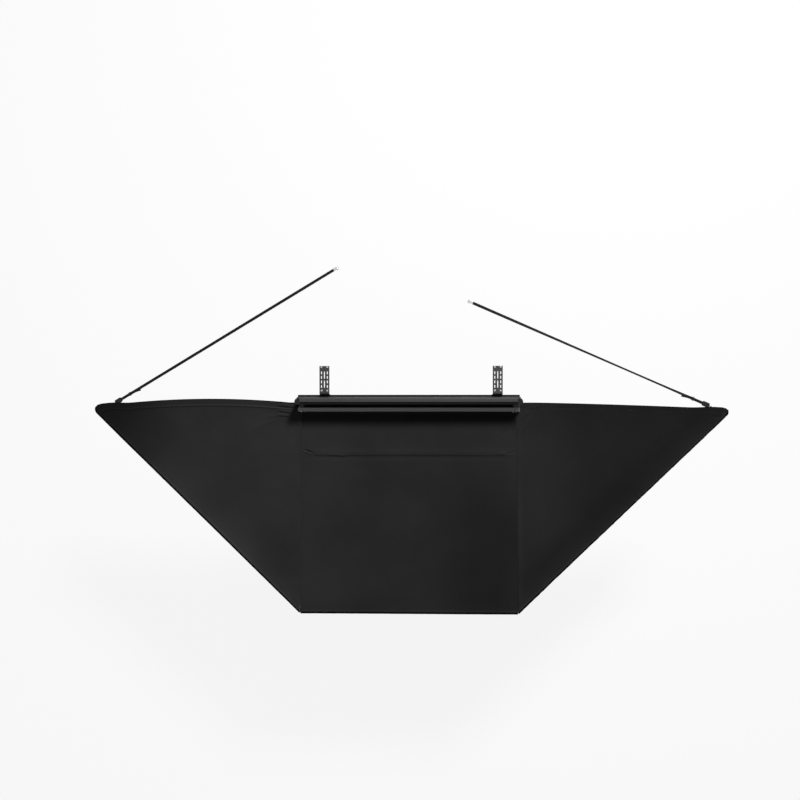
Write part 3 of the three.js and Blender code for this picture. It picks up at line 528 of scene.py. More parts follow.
# Creases as seen from above, each one from x, y to x, y with its width and height, in millimetres
WING_FOLDS = {
    -1: [(-1180, -88, -1010, -104, 9, 10), (-1170, -112, -1020, -128, 8, -4),
         (-1160, -138, -1025, -156, 8, 9), (-1170, -178, -1030, -188, 9, 8),
         (-1060, -215, -975, -262, 9, 8), (-1250, -200, -1100, -170, 14, 4),
         (-1400, -300, -1120, -200, 20, 3)],
    1: [(1000, -230, 1060, -150, 9, 5), (1010, -330, 1100, -190, 13, 4),
        (1060, -120, 1180, -100, 9, 4), (1030, -420, 1050, -250, 10, 2),
        (2700, -240, 2760, -205, 8, 4), (2660, -215, 2730, -190, 9, -3)],
}
CENTRE_FOLDS = [
    (-960, -486, -850, -528, 8, -10), (-955, -500, -855, -540, 7, 6),
    (-945, -530, -830, -545, 6, -6), (-700, -536, -560, -548, 9, 6),
    (790, -525, 860, -520, 8, 6), (880, -530, 950, -505, 8, -7),
    (-900, -240, -780, -200, 14, 5), (860, -300, 940, -230, 12, 6),
    (820, -360, 930, -300, 12, -4), (-930, -300, -860, -260, 10, -3),
]
CROSS_SEAM = -0.541
# Height over the distance in from the outer edge, where the side arm lies in its sleeve
SLEEVE_RIDGE = [(0, 0.0004), (0.012, 0.0032), (0.042, 0.0004), (0.058, 0.005), (0.068, 0.003), (0.1, 0.0)]


def spanned(a, b, across, depth, dip):
    """The cloth's middle surface from one edge to another, with its sag and shallow folds."""
    sag = (depth + np.sin(across * pi * 3) ** 2 * FOLD) * hollow(across) * dip
    return swing_points(
        a[0] + (b[0] - a[0]) * across, a[1] + (b[1] - a[1]) * across,
        a[2] + (b[2] - a[2]) * ease(across) - sag + CLOTH / 2,
    )


def wing_points(side, row, across):
    """A wing's surface, cut a little short at its corner."""
    short = unit(1 - across / 0.029)
    share = row * (1 - 0.041 * (1 - np.sqrt(1 - short ** 2)))
    a, b = outer_edge(side, share), front_seam(side, share, 1)
    return spanned(a, b, across, WING_SAG, hollow(share) * share)


def centre_points(row, across):
    return spanned(front_seam(-1, row, -1), front_seam(1, row, -1), across, CENTRE_SAG, hollow(row))


def wing_shape(side, row, across):
    base = wing_points(side, row, across)
    x, y = base[..., 0], base[..., 1]
    free = unit(row * 8)
    inner = unit(np.minimum(across, 1 - across) * 9)
    hem = (1 - row) * 1.9
    along = across * 2.7
    pucker = smooth_noise(along, hem * 0.4, 0.028, 5) * bell(hem / 0.055)
    pucker *= (0.001 if side < 0 else 0.0034) * unit(across * (1 - across) * 30)
    drift = smooth_noise(x, y, 0.34, 3 + side) * 0.0035 + smooth_noise(x, y, 0.12, 9 + side) * 0.0009
    tip = np.hypot(x - side * 2.84, y + 0.14)
    fan = np.sin(np.arctan2(y + 0.14, (side * 2.84 - x) * side) * 34) * 0.0016 * np.exp(-tip / 0.35)
    front = np.hypot(x - side * 0.99, y + 2.0)
    fan += np.sin(np.arctan2(x - side * 0.99, y + 2.0) * 30) * 0.0016 * np.exp(-front / 0.3)
    lift = (drift + fan * unit(tip * 10) * unit(front * 10)) * inner * free + pucker
    lift = lift + np.maximum(creases(x, y, WING_FOLDS[side]), -0.0015)
    inside = across * np.maximum(row, 0.02) * 2.75
    sleeve = np.interp(inside, *zip(*SLEEVE_RIDGE)) * (1.0 if side < 0 else 0.2)
    return base, lift + sleeve * unit(row * 9) * unit((1 - row) * 14)


def centre_shape(row, across):
    base = centre_points(row, across)
    x, y = base[..., 0], base[..., 1]
    inner = unit(np.minimum(across, 1 - across) * 12)
    ends = unit(np.minimum(row * 10, (1 - row) * 10))
    drift = smooth_noise(x, y, 0.4, 21) * 0.004 + smooth_noise(x, y, 0.13, 22) * 0.0009
    ridge = 0.0045 * bell((y - CROSS_SEAM - 0.022) / 0.03)
    ridge -= 0.0035 * bell((y - CROSS_SEAM + 0.02) / 0.02)
    hem = (1 - row) * 1.8
    pucker = smooth_noise(x, hem * 0.4, 0.03, 6) * 0.001 * bell(hem / 0.05)
    folds = creases(x, y, CENTRE_FOLDS) * ends
    folds = np.where(folds < 0, folds * unit(np.minimum(across, 1 - across) * 60 - 0.5), folds)
    return base, drift * inner * ends + ridge * inner + pucker * inner + folds


STEP = 1e-3


def grids(row, across):
    return np.broadcast_arrays(np.asarray(row, float), np.asarray(across, float))


def shaped(shape):
    """A panel's surface function: points and their normals for any rows and shares across."""
    def at(row, across, h=0.0):
        row, across = grids(row, across)
        base, lift = shape(row, across)
        back, ahead = (shape(r, across)[0] for r in (np.maximum(row - STEP, 0), np.minimum(row + STEP, 1)))
        low, high = (shape(row, a)[0] for a in (np.maximum(across - STEP, 0), np.minimum(across + STEP, 1)))
        normal = np.cross(ahead - back, high - low)
        normal /= np.linalg.norm(normal, axis=-1, keepdims=True) + 1e-12
        normal *= np.where(normal[..., 2:3] < 0, -1, 1)
        return base + normal * (lift + h)[..., None]
    return at


wing_at = {side: shaped(partial(wing_shape, side)) for side in (-1, 1)}
centre_at = shaped(centre_shape)


def closed_sheet(under, over):
    """Faces of a sheet between two grids of points."""
    rows, columns = under.shape[:2]
    points = np.concatenate([under.reshape(-1, 3), over.reshape(-1, 3)])
    half = rows * columns
    index = np.arange(half).reshape(rows, columns)
    a, b, c, d = index[:-1, :-1], index[:-1, 1:], index[1:, 1:], index[1:, :-1]
    top = np.stack([a, b, c, d], -1).reshape(-1, 4) + half
    low = np.stack([a, d, c, b], -1).reshape(-1, 4)
    rim = np.concatenate([index[0, :], index[1:, -1], index[-1, -2::-1], index[-2:0:-1, 0]])
    turn = np.roll(rim, -1)
    side = np.stack([rim, turn, turn + half, rim + half], -1)
    return points, np.concatenate([top, low, side])


def sheet_object(name, under, over, look, tones):
    points, faces = closed_sheet(under, over)
    piece = mesh_object(name, points.tolist(), faces.tolist(), look)
    face_outward(piece.data)
    set_tone(piece.data, [tones, tones])
    return piece


def spread(zone, extra=10, dense_low=True):
    """Shares from 0 to 1, closer together in a zone and at the ends."""
    count = 160
    shares = [*np.linspace(0, 1, count), *np.linspace(*zone), *np.linspace(1 - 3 / count, 1, extra)]
    if dense_low:
        shares += list(np.linspace(0, 3 / count, extra))
    return np.array(sorted(set(round(s, 9) for s in shares)))


def wing_tones(side, row, across):
    """The cloth's tone: lighter beside the centre and darker towards the tips, with painted shade near the
    case, a painted highlight inside the front hem and a band of painted shade further in.
    """
    base = wing_points(side, row, across)
    x, y = base[..., 0] * side, base[..., 1]
    hem = np.maximum(1 - row, 0) * 1.34
    if side < 0:
        # Painted shade near the case; along the hem, a painted highlight and a band of painted shade further
        # in
        top = 1 - 0.26 * np.exp(-np.maximum(-y - 0.05, 0) / 0.12)
        return (0.16 + 0.88 * rise((2.78 - x) / 0.85)) * top * (
            1 + 0.46 * np.exp(-hem / 0.07) - 0.13 * bell((hem - 0.34) / 0.16))
    # Painted shade near the case; along the hem, a painted highlight and a band of painted shade further in
    painted_case_shade = np.clip(0.84 + 0.16 * (-y - 0.15) / 0.3, 0.84, 1)
    return (0.49 + 0.44 * np.exp(-(x - 1.0) / 0.5)) * painted_case_shade * (
        1 + 0.55 * np.exp(-hem / 0.03) - 0.2 * bell((hem - 0.17) / 0.1))


def centre_tones(row, across):
    base = centre_points(row, across)
    x, y = base[..., 0], base[..., 1]
    # Lighter on the left and darker towards the lower right, lighter again beside the right seam
    tone = 1.1 - 0.2 * rise((x + 0.9) / 0.6)
    tone = tone - 0.38 * rise((x - 0.05) / 0.6) * np.clip((-y - 0.1) / 1.3, 0.3, 1)
    tone = tone + 0.1 * rise((x - 0.8) / 0.15)
    # Painted shadow of the lid and rail on the cloth beside the case
    painted_case_shadow = 1 - 0.62 * rise((y + 0.34) / 0.14)
    # Painted highlight inside the front hem, on its right part
    edge = 0.5 * np.exp(-np.maximum(1 - row, 0) * 1.8 / 0.06) * unit((x - 0.2) / 0.5)
    return np.where(y > CROSS_SEAM, 1.06, 1.0) * tone * painted_case_shadow * (1 + edge)


panels = {}
for side, word in SIDES:
    row, across = np.meshgrid(
        spread((0, 0.18, 70), dense_low=False), spread((0, 0.045, 36), 16), indexing="ij")
    at = wing_at[side]
    panels[word] = sheet_object(
        f"canopy_wing_{word}_cloth", at(row, across, -HALF_SHEET), at(row, across, HALF_SHEET),
        cloth_left if side < 0 else cloth_right, wing_tones(side, row, across),
    )


def bend_into_rail(across, thickness):
    """Rows of the centre panel's start: down out of the rail's bore and forward over the arms."""
    flat = 0 * across
    x = -BEAD_HALF + 2 * BEAD_HALF * across
    turn_z = centre_points(np.zeros(1), np.array([0.5]))[0, 2] - CLOTH / 2 + BEND
    rows = []
    for z in np.linspace(BORE_LEVEL - RIDGE - CORD - GAP, turn_z, 8)[:-1]:
        rows.append(np.stack([x, flat + BORE_Y + CLOTH / 2 - thickness, flat + z], -1))
    for i in range(9):
        angle = -pi / 2 * i / 9
        y = BORE_Y - BEND + CLOTH / 2 + (BEND - thickness) * cos(angle)
        rows.append(np.stack([x, flat + y, flat + turn_z + (BEND - thickness) * sin(angle)], -1))
    return np.stack(rows)


row, across = np.meshgrid(spread((0.15, 0.28, 60)), spread((0.0, 0.09, 30)), indexing="ij")
under, over = (bend_into_rail(across[0], CLOTH / 2 + h) for h in (-HALF_SHEET, HALF_SHEET))
panels["centre"] = sheet_object(
    "canopy_centre_cloth",
    np.concatenate([under, centre_at(row, across, -HALF_SHEET)]),
    np.concatenate([over, centre_at(row, across, HALF_SHEET)]),
    cloth_centre,
    np.concatenate([np.ones(under.shape[:2]), centre_tones(row, across)]),
)


def inset(at, row, across, inward, distance):
    """Moves a place on a panel by a distance in metres along one of its two directions."""
    row, across = grids(row, across)
    sign_r, sign_a = inward
    here = at(row, across)
    moved = (at(row + sign_r * STEP, across + sign_a * STEP) - here) / STEP
    line = at(row + abs(sign_a) * STEP, across + abs(sign_r) * STEP) - here
    line /= np.linalg.norm(line, axis=-1, keepdims=True)
    square = moved - line * (moved * line).sum(-1, keepdims=True)
    scale = np.maximum(np.linalg.norm(square, axis=-1), 0.05)
    return row + sign_r * distance / scale, across + sign_a * distance / scale


def strip(name, at, row, across, inward, profile, look, tones):
    """A hem or band: a closed profile of (distance in from a line, height, painted light and shade) along the
    line.
    """
    rings, shades = [], []
    for distance, height, *factor in profile:
        r, a = inset(at, row, across, inward, distance)
        rings.append(at(r, a, height))
        shades.append(tones(r, a) * (factor[0] if factor else 1.0))
    grid = np.stack(rings, 1)
    piece = mesh_object(name, grid.reshape(-1, 3), ring_faces(*grid.shape[:2]), look)
    face_outward(piece.data)
    set_tone(piece.data, np.stack(shades, 1))
    return piece


def tenths(rows):
    """Rows that start with two lengths, from tenths of a millimetre to metres."""
    return [(a / 10000, b / 10000, *rest) for a, b, *rest in rows]


STITCH, STITCH_PITCH, THREAD = 0.0036, 0.0055, 0.00045


def stitches(name, at, seams):
    """Raised stitches on a surface, along lines of (row, share across, inward, distance in, height)."""
    points, faces = [], []
    for row, across, inward, distance, height in seams:
        path = at(*inset(at, row, across, inward, distance), height)
        run = np.concatenate([[0], np.cumsum(np.linalg.norm(np.diff(path, axis=0), axis=1))])
        middle = np.arange(STITCH_PITCH, run[-1] - STITCH_PITCH, STITCH_PITCH)
        start, end = (np.stack([np.interp(middle + d, run, path[:, k]) for k in range(3)], -1)
                      for d in (-STITCH / 2, STITCH / 2))
        along = end - start
        along /= np.linalg.norm(along, axis=1, keepdims=True)
        beside, above = np.cross(along, [0, 0, 1]) * THREAD, np.array([0, 0, THREAD])
        shoulder = along * 0.0006
        corners = [start - beside, start + beside, end + beside, end - beside,
                   start + above + shoulder, end + above - shoulder]
        base = len(points)
        points += np.stack(corners, 1).reshape(-1, 3).tolist()
        for i in range(len(middle)):
            k = base + i * 6
            faces += [(k, k + 3, k + 2, k + 1), (k, k + 1, k + 4), (k + 2, k + 3, k + 5),
                      (k + 1, k + 2, k + 5, k + 4), (k + 3, k, k + 4, k + 5)]
    return mesh_object(name, points, faces, thread_look, smooth=False)


# Profiles round a hem or band: distance in from its line, height over the cloth and shade if not 1, which is
# painted light: above 1 a painted highlight, below 1 painted shade
HEM = tenths([
    (260, -2, 1.05), (260, 11, 1.05), (245, 16, 1.12), (130, 20, 1.1), (100, 18, 0.8), (20, 16, 0.8),
    (-30, 8, 0.8), (-36, 0, 0.8), (-30, -7, 0.8), (20, -10, 0.8), (250, -10, 1.0),
])
EDGE_TAPE = tenths([
    (105, 18), (90, 26), (0, 26), (-55, 16), (-66, 0), (-55, -14), (90, -18), (105, -12),
])
SLEEVE_TAPE = tenths([
    (45, 17), (30, 24), (-20, 14), (-30, 0), (-20, -12), (30, -16), (45, -12),
])
SLEEVES = {
    -1: tenths([
        (660, -2, 0.45), (660, 10, 0.45), (620, 15, 0.5), (590, 22, 1.52), (480, 26, 1.48),
        (440, 27, 0.86), (190, 32, 0.86), (80, 26, 0.82), (20, 16, 0.6), (-10, 0, 0.5), (-6, -8, 0.5),
        (20, -11, 0.7), (590, -10, 0.9),
    ]),
    1: tenths([
        (380, -2, 0.9), (380, 10, 0.9), (360, 17, 0.9), (300, 26, 0.88), (190, 32, 0.84), (80, 26, 0.8),
        (20, 16, 0.6), (-10, 0, 0.5), (-6, -8, 0.5), (20, -11, 0.7), (370, -10, 0.9),
    ]),
}
SEAM_BAND = tenths([
    (440, -1, 1.0), (440, 7, 1.05), (410, 11, 1.12), (240, 15, 1.14), (80, 12, 1.12), (30, 8, 0.75),
    (0, 2, 0.55), (-4, -6, 0.55), (20, -10, 0.8), (430, -10, 1.0),
])
NARROW_SEAM_BAND = [(d * 0.4, h * 0.8, 1 + (t - 1) * 0.3) for d, h, t in SEAM_BAND]
LAP = tenths([
    (140, 0, 1.0), (140, 10, 1.0), (120, 13, 1.06), (0, 16, 1.06), (-30, 12, 0.9), (-35, 3, 0.8),
])
EYELET = tenths([(75, 0), (72, 10), (58, 16), (42, 10), (40, 2), (2, 2)])
# The directions in from the front hem, from a wing's outer edge and from its seam over the front arm
FROM_HEM, FROM_EDGE, FROM_SEAM = (-1, 0), (0, 1), (0, -1)
fine = np.linspace(0, 1, 420)
trims = {"left": [], "right": [], "centre": []}


def seam_tones(side, row, across):
    """A seam band's tone, with painted shade where it starts beside the case."""
    return wing_tones(side, row, across) * (0.88 + 0.12 * unit((row - 0.2) / 0.3))


def patch(name, at, rows, columns, look, tones, factor):
    """A second layer of cloth on a corner."""
    r, a = np.meshgrid(np.linspace(*rows, 24), np.linspace(*columns, 24), indexing="ij")
    return sheet_object(name, at(r, a, 0.0004), at(r, a, 0.0016), look, tones(r, a) * factor)


for side, word in SIDES:
    own, at, cloth = trims[word], wing_at[side], cloth_left if side < 0 else cloth_right
    tones, tones_of_seam = partial(wing_tones, side), partial(seam_tones, side)
    hem_line, edge_line, arm_line = 0.004 + fine * 0.994, 0.01 + fine * 0.985, 0.02 + fine * 0.975
    seam_band = SEAM_BAND if side > 0 else NARROW_SEAM_BAND
    for part, row, across, inward, profile, look, shades in (
        ("hem", 1.0, hem_line, FROM_HEM, HEM, cloth, tones),
        ("sleeve", edge_line, 0.0, FROM_EDGE, SLEEVES[side], cloth, tones),
        ("hem_tape", 1.0, hem_line, FROM_HEM, EDGE_TAPE, tape_look, tones),
        ("sleeve_tape", edge_line, 0.0, FROM_EDGE, SLEEVE_TAPE, tape_look, tones),
        ("arm_seam", arm_line, 1.0, FROM_SEAM, seam_band, cloth, tones_of_seam),
    ):
        own.append(strip(f"canopy_{part}_{word}", at, row, across, inward, profile, look, shades))
    own.append(stitches(f"canopy_stitching_{word}", at, [
        (1.0, 0.01 + fine * 0.98, FROM_HEM, 0.021, 0.0019),
        (1.0, 0.01 + fine * 0.98, FROM_HEM, 0.005, 0.0019),
        (0.03 + fine * 0.95, 0.0, FROM_EDGE, 0.0345, 0.002),
        (0.03 + fine * 0.95, 0.0, FROM_EDGE, 0.041, 0.0008),
        (0.04 + fine * 0.94, 1.0, FROM_SEAM, 0.011, 0.0012),
    ]))
    for part, rows, columns in (
        ("tip_patch", (0.945, 0.998), (0.003, 0.04)), ("front_patch", (0.948, 0.998), (0.962, 0.996)),
    ):
        own.append(patch(f"canopy_{part}_{word}", at, rows, columns, cloth, tones, 0.93))


def find_place(side, x, y):
    """The row and share across of the wing's point nearest to a place in plan."""
    r, a = np.meshgrid(np.linspace(0.8, 1, 240), np.linspace(0, 0.2, 240), indexing="ij")
    there = wing_points(side, r, a)
    best = np.argmin(np.hypot(there[..., 0] - x, there[..., 1] - y))
    return r.ravel()[best], a.ravel()[best]


for side, word, x, y in ((-1, "left", -2.745, -0.135), (1, "right", 2.78, -0.157)):
    centre = Vector(wing_at[side](*find_place(side, x, y), 0.0008))
    eyelet = lathe(EYELET, centre, (0, 0, 1), 28)
    trims[word].append(mesh_object(f"canopy_eyelet_{word}", *eyelet, black))

own, all_rows = trims["centre"], np.linspace(0, 1, 400)
seam_row = np.array([
    np.interp(CROSS_SEAM, centre_points(all_rows, np.full(400, s))[::-1, 1], all_rows[::-1]) for s in fine
])
hem_line, seam_line = 0.003 + fine * 0.994, 0.004 + fine * 0.992
front_tape = [(d - 0.003, h) for d, h in EDGE_TAPE]
for part, row, across, profile, look in (
    ("hem_front", 1.0, hem_line, HEM, cloth_centre), ("hem_tape_front", 1.0, hem_line, front_tape, tape_look),
    ("cross_seam", seam_row, seam_line, LAP, cloth_centre),
):
    own.append(strip(f"canopy_{part}", centre_at, row, across, FROM_HEM, profile, look, centre_tones))
own.append(stitches("canopy_stitching_centre", centre_at, [
    (1.0, 0.006 + fine * 0.988, FROM_HEM, 0.021, 0.0019),
    (1.0, 0.006 + fine * 0.988, FROM_HEM, 0.005, 0.0019),
    (seam_row, 0.008 + fine * 0.984, FROM_HEM, 0.002, 0.0024),
    (seam_row, 0.008 + fine * 0.984, FROM_HEM, 0.01, 0.0024),
]))
for i, columns in enumerate(((0.003, 0.05), (0.95, 0.997))):
    own.append(patch(f"canopy_corner_patch_{i + 1}", centre_at, (0.948, 0.998), columns,
                     cloth_centre, centre_tones, 0.95))


def gather(side, distance):
    """A wing's joint name, a direction across its front arm, and a point on a line beside the arm."""
    lean = side * sin(SPLAY)
    across = Vector((cos(SPLAY), lean * cos(TILT), lean * sin(TILT)))
    pin = Vector((side * PIVOT_X, -SWING - side * STAGGER, 0.0))
    return f"{'left' if side < 0 else 'right'}_side_arm_swing", across, pin + across * side * distance


SQUASH = {
    "left": gather(-1, 0.0385), "right": gather(1, 0.0225),
    "centre": ("left_front_arm_swing", Vector((0, cos(TILT), sin(TILT))),
               Vector((0, -0.1385, 0.0165))),
}
for word, arm in (("left", "left_front_arm"), ("right", "right_front_arm"), ("centre", "case")):
    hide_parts("canopy_centre" if word == "centre" else f"canopy_wing_{word}")
    joint, axis, anchor = SQUASH[word]
    for piece in [panels[word], *trims[word]]:
        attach(piece, arm)
        tuple(axis)
        tuple(anchor)
        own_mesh(piece)
    if word == "centre":
        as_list(trims[word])
    else:
        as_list(trims[word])


BOLT, HEAD, HEAD_HIGH, WASHER, WASHER_THICK = 0.004, 0.0074, 0.0053, 0.0085, 0.0016
PLATE, PLATE_TOP = 0.005, 0.052


def hexagon(low, high):
    tall = high - low
    return [(HEAD * 0.985, low), (HEAD, low + tall * 0.08),
            (HEAD, high - tall * 0.16), (HEAD * 0.88, high)], 6


def washer(low, high):
    edge = (high - low) * 0.3
    return [(WASHER - edge, low), (WASHER, low + edge), (WASHER, high - edge), (WASHER - edge, high)], 28


def thread(low, high):
    """A threaded shank: rings at a bolt's pitch, with a chamfered end."""
    pitch, profile = 0.00125, [(BOLT * 0.8, low)]
    for i in range(int((high - low) / pitch)):
        profile += [(BOLT, low + (i + 0.35) * pitch), (BOLT * 0.88, low + (i + 0.95) * pitch)]
    return profile + [(BOLT * 0.9, high)], 16


def fastener(node, place, direction, parts, look=bolt_steel):
    """One of the case's fasteners, in place of its node, of turned parts (profile, sides)."""
    turned = many(lathe(profile, place, direction, sides) for profile, sides in parts)
    piece = mesh_object(f"{node}_body", *turned, look)
    piece.data.set_sharp_from_angle(angle=radians(32))
    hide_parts(node)
    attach(piece, "case")


def box_of(node):
    """A node's lowest and highest corner and its middle."""
    low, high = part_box(node)
    return low, high, Vector(((low.x + high.x) / 2, (low.y + high.y) / 2, (low.z + high.z) / 2))


FORWARD, UPWARD = (0, 1, 0), (0, 0, 1)
for side, word in SIDES:
    for node in [f"plate_bolt_{word}_{place}_{i}" for place in ("near", "far") for i in (1, 2)]:
        middle = box_of(node)[2]
        fastener(node, (middle.x, middle.y, PLATE_TOP + GAP), UPWARD, [
            washer(0.0, WASHER_THICK), hexagon(WASHER_THICK, WASHER_THICK + HEAD_HIGH),
            thread(-PLATE - 0.022, 0.0),
        ])
    for i in (1, 2):
        node = f"ridge_bolt_{word}_{i}"
        low, high, middle = box_of(node)
        seat = PLATE + 2 * GAP
        nut_seat = seat + WASHER_THICK
        fastener(node, (middle.x, 0.0, 0.0), FORWARD, [
            hexagon(low.y, low.y + HEAD_HIGH), washer(seat, nut_seat),
            hexagon(nut_seat, nut_seat + HEAD_HIGH), thread(low.y + HEAD_HIGH * 0.5, high.y),
        ])
        node = f"pivot_bolt_{word}_{i}"
        low, high, middle = box_of(node)
        reach = high.y - low.y
        nut_seat = reach - HEAD_HIGH
        fastener(node, (middle.x, low.y, middle.z), FORWARD, [
            hexagon(0.0, HEAD_HIGH), hexagon(nut_seat, nut_seat + HEAD_HIGH * 0.8),
            thread(HEAD_HIGH * 0.5, reach),
        ], dark_steel)
    node = f"rail_screw_{word}"
    low, high, middle = box_of(node)
    wide, tall = (high.x - low.x) / 2, high.z - low.z
    fastener(node, (middle.x, middle.y, low.z), UPWARD, [([
        (wide * 0.96, 0.0), (wide, tall * 0.25), (wide * 0.9, tall * 0.75), (wide * 0.62, tall),
        (wide * 0.42, tall), (wide * 0.42, tall * 0.35), (wide * 0.02, tall * 0.3),
    ], 24)], dark_steel)

# CAD pieces with broken edges: each one's finish, and its bevel's width and steps
DRESSED = [
    ("case_base", base_look, 0.0005, 2), ("lid_panel", lid_look, 0.0005, 2),
    ("keder_rail", rail_look, 0.0007, 2), ("lid_seal", rubber, 0.0004, 2),
]
for node, look, bevel in (
    ("lid_end_cap", cap_look, 0.0007), ("case_end", black, 0.0008), ("pivot_bracket", cast, 0.001),
    ("mount_plate", plate_look, 0.0007), ("pivot_pin", dark_steel, 0.0006),
):
    DRESSED += [(f"{node}_{word}", look, bevel, 2) for side, word in SIDES]
for side, word in SIDES:
    for arm in (f"{word}_front_arm", f"{word}_side_arm"):
        DRESSED += [(f"{arm}_hub", cast, 0.001, 2), (f"{arm}_tube", arm_look, 0.0016, 3),
                    (f"{arm}_tip", black, 0.0014, 3)]
    DRESSED.append((f"strap_anchor_{word}", cast, 0.0005, 2))
for node, look, bevel, segments in DRESSED:
    piece = dress(node, look, bevel, segments)
    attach(piece, body_of[node])
    if look is lid_look:
        # Painted shade: the lid's broad top is darker than its skirt
        heights = np.array([v.co.y for v in piece.data.vertices])
        set_tone(piece.data, 1 - 0.75 * rise((heights + 0.031) / 0.014))

low, high, middle = box_of("keder_bead")
bead_long = high.x - low.x
bead = mesh_object("keder_bead_body", *lathe(
    [(CORD * 0.9, 0.0), (CORD, 0.0006), (CORD, bead_long - 0.0006), (CORD * 0.9, bead_long)],
    (low.x, middle.y, middle.z), (1, 0, 0), 20), cloth_centre)
set_tone(bead.data, np.ones(len(bead.data.vertices)))
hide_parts("keder_bead")
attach(bead, "case")


# Rivets on both sides of each arm, where the hub and the tip plug go into the tube
ARM_WIDE, ARM_HIGH, ARM_REACH = 0.025, 0.019, 1.85
RIVET_REACHES = (0.042, 0.066, ARM_REACH - 0.04, ARM_REACH - 0.022)
RIVET = tenths([(42, 0), (41, 6), (33, 13), (18, 17), (2, 18)])
END_SCREW = tenths([(34, 0), (34, 8), (26, 16), (14, 19), (12, 8), (2, 7)])
END_SCREWS_AT = ((-0.138, -0.06), (-0.09, -0.06), (-0.04, -0.06), (-0.03, -0.01), (-0.027, 0.04))


def arm_place(side, front, reach, off):
    """A point of an arm, at a reach from the pin and a distance off its middle line."""
    pivot = -side * STAGGER
    turn = radians(-90 + side * 1.5 if front else (181 if side < 0 else -1))
    layer = (0 if side < 0 else 1) + (0 if front else 2)
    x = side * PIVOT_X + reach * cos(turn) - off * sin(turn)
    v = pivot + reach * sin(turn) + off * cos(turn)
    return Vector(swing_points(x, v, LAYER_TOP[layer] - ARM_HIGH / 2))


for side, word in SIDES:
    for place in ("front", "side"):
        arm, parts = f"{word}_{place}_arm", []
        for reach in RIVET_REACHES:
            for face in (-1, 1):
                foot = arm_place(side, place == "front", reach, face * (ARM_WIDE / 2 - 0.0002))
                away = arm_place(side, place == "front", reach, face * ARM_WIDE) - foot
                parts.append(lathe(RIVET, foot, away.normalized(), 18))
        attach(mesh_object(f"{arm}_rivets", *many(parts), dark_steel), arm)

# Screws that hold the end plates to the case and the end caps to the lid
for side, word in SIDES:
    parts = [lathe(END_SCREW, (side * 0.99, y, z), (side, 0, 0), 18) for y, z in END_SCREWS_AT]
    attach(mesh_object(f"case_end_screws_{word}", *many(parts), dark_steel), "case")

# Moulded feet round the case's lower front corners
for side, word in SIDES:
    foot = mesh_object(f"case_corner_foot_{word}", *many([
        block((side * 0.962, -0.1695, -0.0735), Matrix.Identity(3), (0.076, 0.031, 0.009), 0.3),
        block((side * 1.003, -0.123, -0.0735), Matrix.Identity(3), (0.024, 0.124, 0.009), 0.3),
    ]), black)
    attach(foot, "case")

# A loose tail's points: distance along the strap and height over it
TAIL = np.array(tenths([
    (1880, 30), (2000, 42), (2150, 46), (2320, 30), (2480, -10), (2620, -75), (2730, -160),
]))
RING_STEPS, WIRE_STEPS, WIRE = 48, 14, 0.0018
BUCKLE_PIN = tenths([(36, 0), (34, 14), (22, 20), (2, 21)])
# Straps: their ring, buckle, lever, webbing, tail, slider and hook ride on the side arm.
for side, word in SIDES:
    arm = f"{word}_side_arm"
    start, along, across, up, length = strap_frame(word)
    axes = (along, across, up)
    web, path = webs[word]
    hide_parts(f"strap_webbing_{word}")
    hook = dress(f"strap_hook_{word}", bolt_steel, 0.0008, 3)
    slider = dress(f"strap_slider_{word}", black, 0.0009, 3)

    tail_steps = []
    for x in np.linspace(TAIL[0, 0], TAIL[-1, 0], 40):
        before, z, after = np.interp([x - 0.004, x, x + 0.004], TAIL[:, 0], TAIL[:, 1])
        slope = atan2(after - before, 0.008)
        aside = 0.01 * ((x - TAIL[0, 0]) / 0.085) ** 2 * side
        lifted = up * cos(slope) - along * sin(slope)
        tail_steps.append((start + along * x + up * z + across * aside, across, lifted))
    tail = band_mesh(f"strap_tail_{word}", tail_steps)

    points, faces = [], []
    for i in range(RING_STEPS):
        a, k = 2 * pi * i / RING_STEPS, (i + 1) % RING_STEPS
        for j in range(WIRE_STEPS):
            b, m = 2 * pi * j / WIRE_STEPS, (j + 1) % WIRE_STEPS
            r = RING + WIRE * cos(b)
            in_plane = along * (RING + r * cos(a)) + up * (r * sin(a))
            points.append(start + in_plane + across * (WIRE * sin(b)))
            faces.append((i * WIRE_STEPS + j, k * WIRE_STEPS + j, k * WIRE_STEPS + m, i * WIRE_STEPS + m))
    ring = mesh_object(f"strap_ring_{word}_body", points, faces, bolt_steel)
    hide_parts(f"strap_ring_{word}")

    buckle = dress(f"strap_buckle_{word}", black, 0.0016, 3)
    back = start + along * (2 * RING + TAB)
    parts = [block(back + along * (0.008 + i * 0.0042) + up * 0.0062, axes, (0.0018, 0.024, 0.0026))
             for i in range(7)]
    for face in (-1, 1):
        cheek = back + along * (BUCKLE / 2) + across * (face * 0.0196)
        parts.append(block(cheek, axes, (BUCKLE * 0.86, 0.0032, 0.01)))
        pin = back + along * (BUCKLE * 0.62) + across * (face * 0.0208)
        parts.append(lathe(BUCKLE_PIN, pin, across * face, 18))
    lever = mesh_object(f"strap_buckle_lever_{word}", *many(parts), black, smooth=False)
    for piece in (ring, buckle, lever):
        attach(piece, arm)
    for piece in (web, tail, slider, hook):
        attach(piece, arm)
        tuple(along)
        tuple(start)
        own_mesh(piece)
    tuple(path[0])
    sum((b - a).length for a, b in zip(path, path[1:]))
    [tuple(p) for p in path]

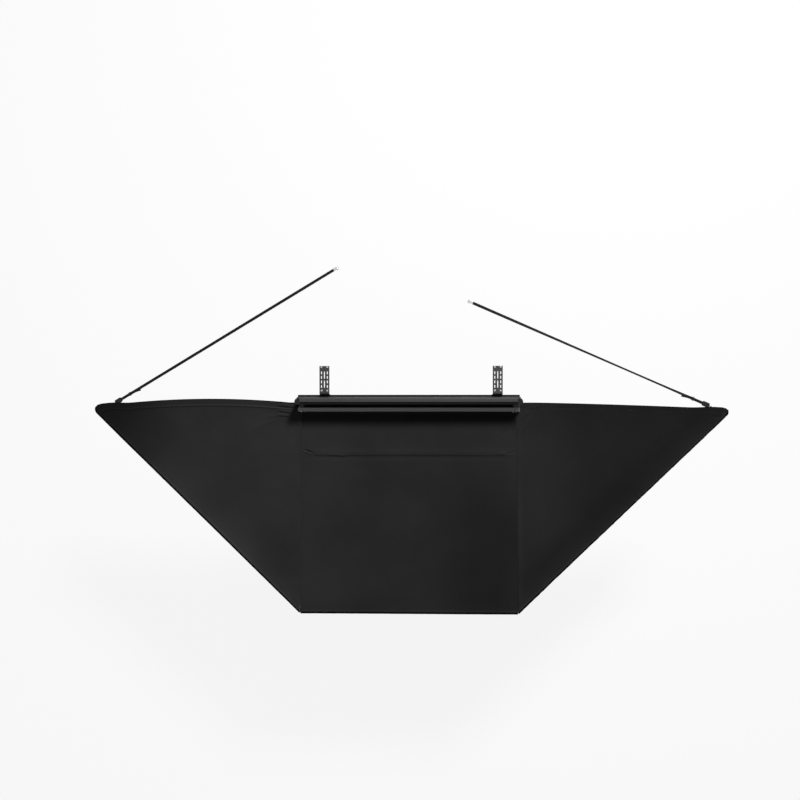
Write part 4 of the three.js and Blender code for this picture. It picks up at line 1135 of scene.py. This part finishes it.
# A pale floor far below. The camera sees part of its glow, and from underneath it is clear.
FLOOR_HALF, FLOOR_LEVEL, FLOOR_GLOW = 60.0, -2.1, 0.88
ground = Look("floor", grey(0.8, 0.8), 0.9)
grit = ground.noise(3.0, 4.0)
ground.finish(ground.tint(grit, grey(0.79, 0.79), grey(0.81, 0.81)), None, None)
glow = ground.node("ShaderNodeEmission", {"Color": (1, 1, 1, 1), "Strength": 1.0}).outputs[0]
seen = ground.node("ShaderNodeLightPath").outputs["Is Camera Ray"]
blend = ground.node("ShaderNodeMixShader", {
    0: ground.math("MULTIPLY", seen, FLOOR_GLOW), 1: ground.shader.outputs[0], 2: glow,
}).outputs[0]
under = ground.node("ShaderNodeNewGeometry").outputs["Backfacing"]
clear = ground.node("ShaderNodeBsdfTransparent").outputs[0]
blend = ground.node("ShaderNodeMixShader", {0: under, 1: blend, 2: clear}).outputs[0]
feed(ground.tree.nodes["Material Output"].inputs["Surface"], blend)
corners = [(x * FLOOR_HALF, y * FLOOR_HALF, FLOOR_LEVEL) for x, y in ((-1, -1), (1, -1), (1, 1), (-1, 1))]
mesh_object("floor", corners, [(0, 1, 2, 3)], ground.material)


def lamp(name, place, size, watts):
    light = bpy.data.lights.new(name, "AREA")
    light.shape, light.size, light.energy = "DISK", size, watts
    holder = put(name, light)
    holder.location = place
    holder.rotation_euler = (LIT_PLACE - Vector(place)).to_track_quat("-Z", "Y").to_euler()


# Soft light from above and behind the camera's top edge, a weak one from the other side, and a pale
# sky that lights the cloth little but shows whole in mirrors and behind the object.
LIT_PLACE, SKY_LIGHT = Vector((0.0, -0.8, 0.0)), 0.12
lamp("key", (3.2, 7.4, 8.2), 2.4, 1780)
lamp("fill", (-6.0, -7.0, 6.5), 6.0, 90)
world = bpy.data.worlds.new("studio")
bpy.context.scene.world = world
world.use_nodes = True
tree = world.node_tree
rays = add_node(tree, "ShaderNodeLightPath").outputs
also = add_node(tree, "ShaderNodeMath", {0: rays["Is Glossy Ray"], 1: rays["Is Transmission Ray"]},
                operation="ADD").outputs[0]
direct = add_node(tree, "ShaderNodeMath", {0: rays["Is Camera Ray"], 1: also},
                  operation="ADD", use_clamp=True).outputs[0]
level = add_node(tree, "ShaderNodeMapRange", {"Value": direct, "To Min": SKY_LIGHT, "To Max": 1.0})
back = tree.nodes["Background"]
feed(back.inputs["Strength"], level.outputs["Result"])
feed(back.inputs["Color"], (1, 1, 1, 1))
bpy.context.scene.view_settings.view_transform = "Standard"
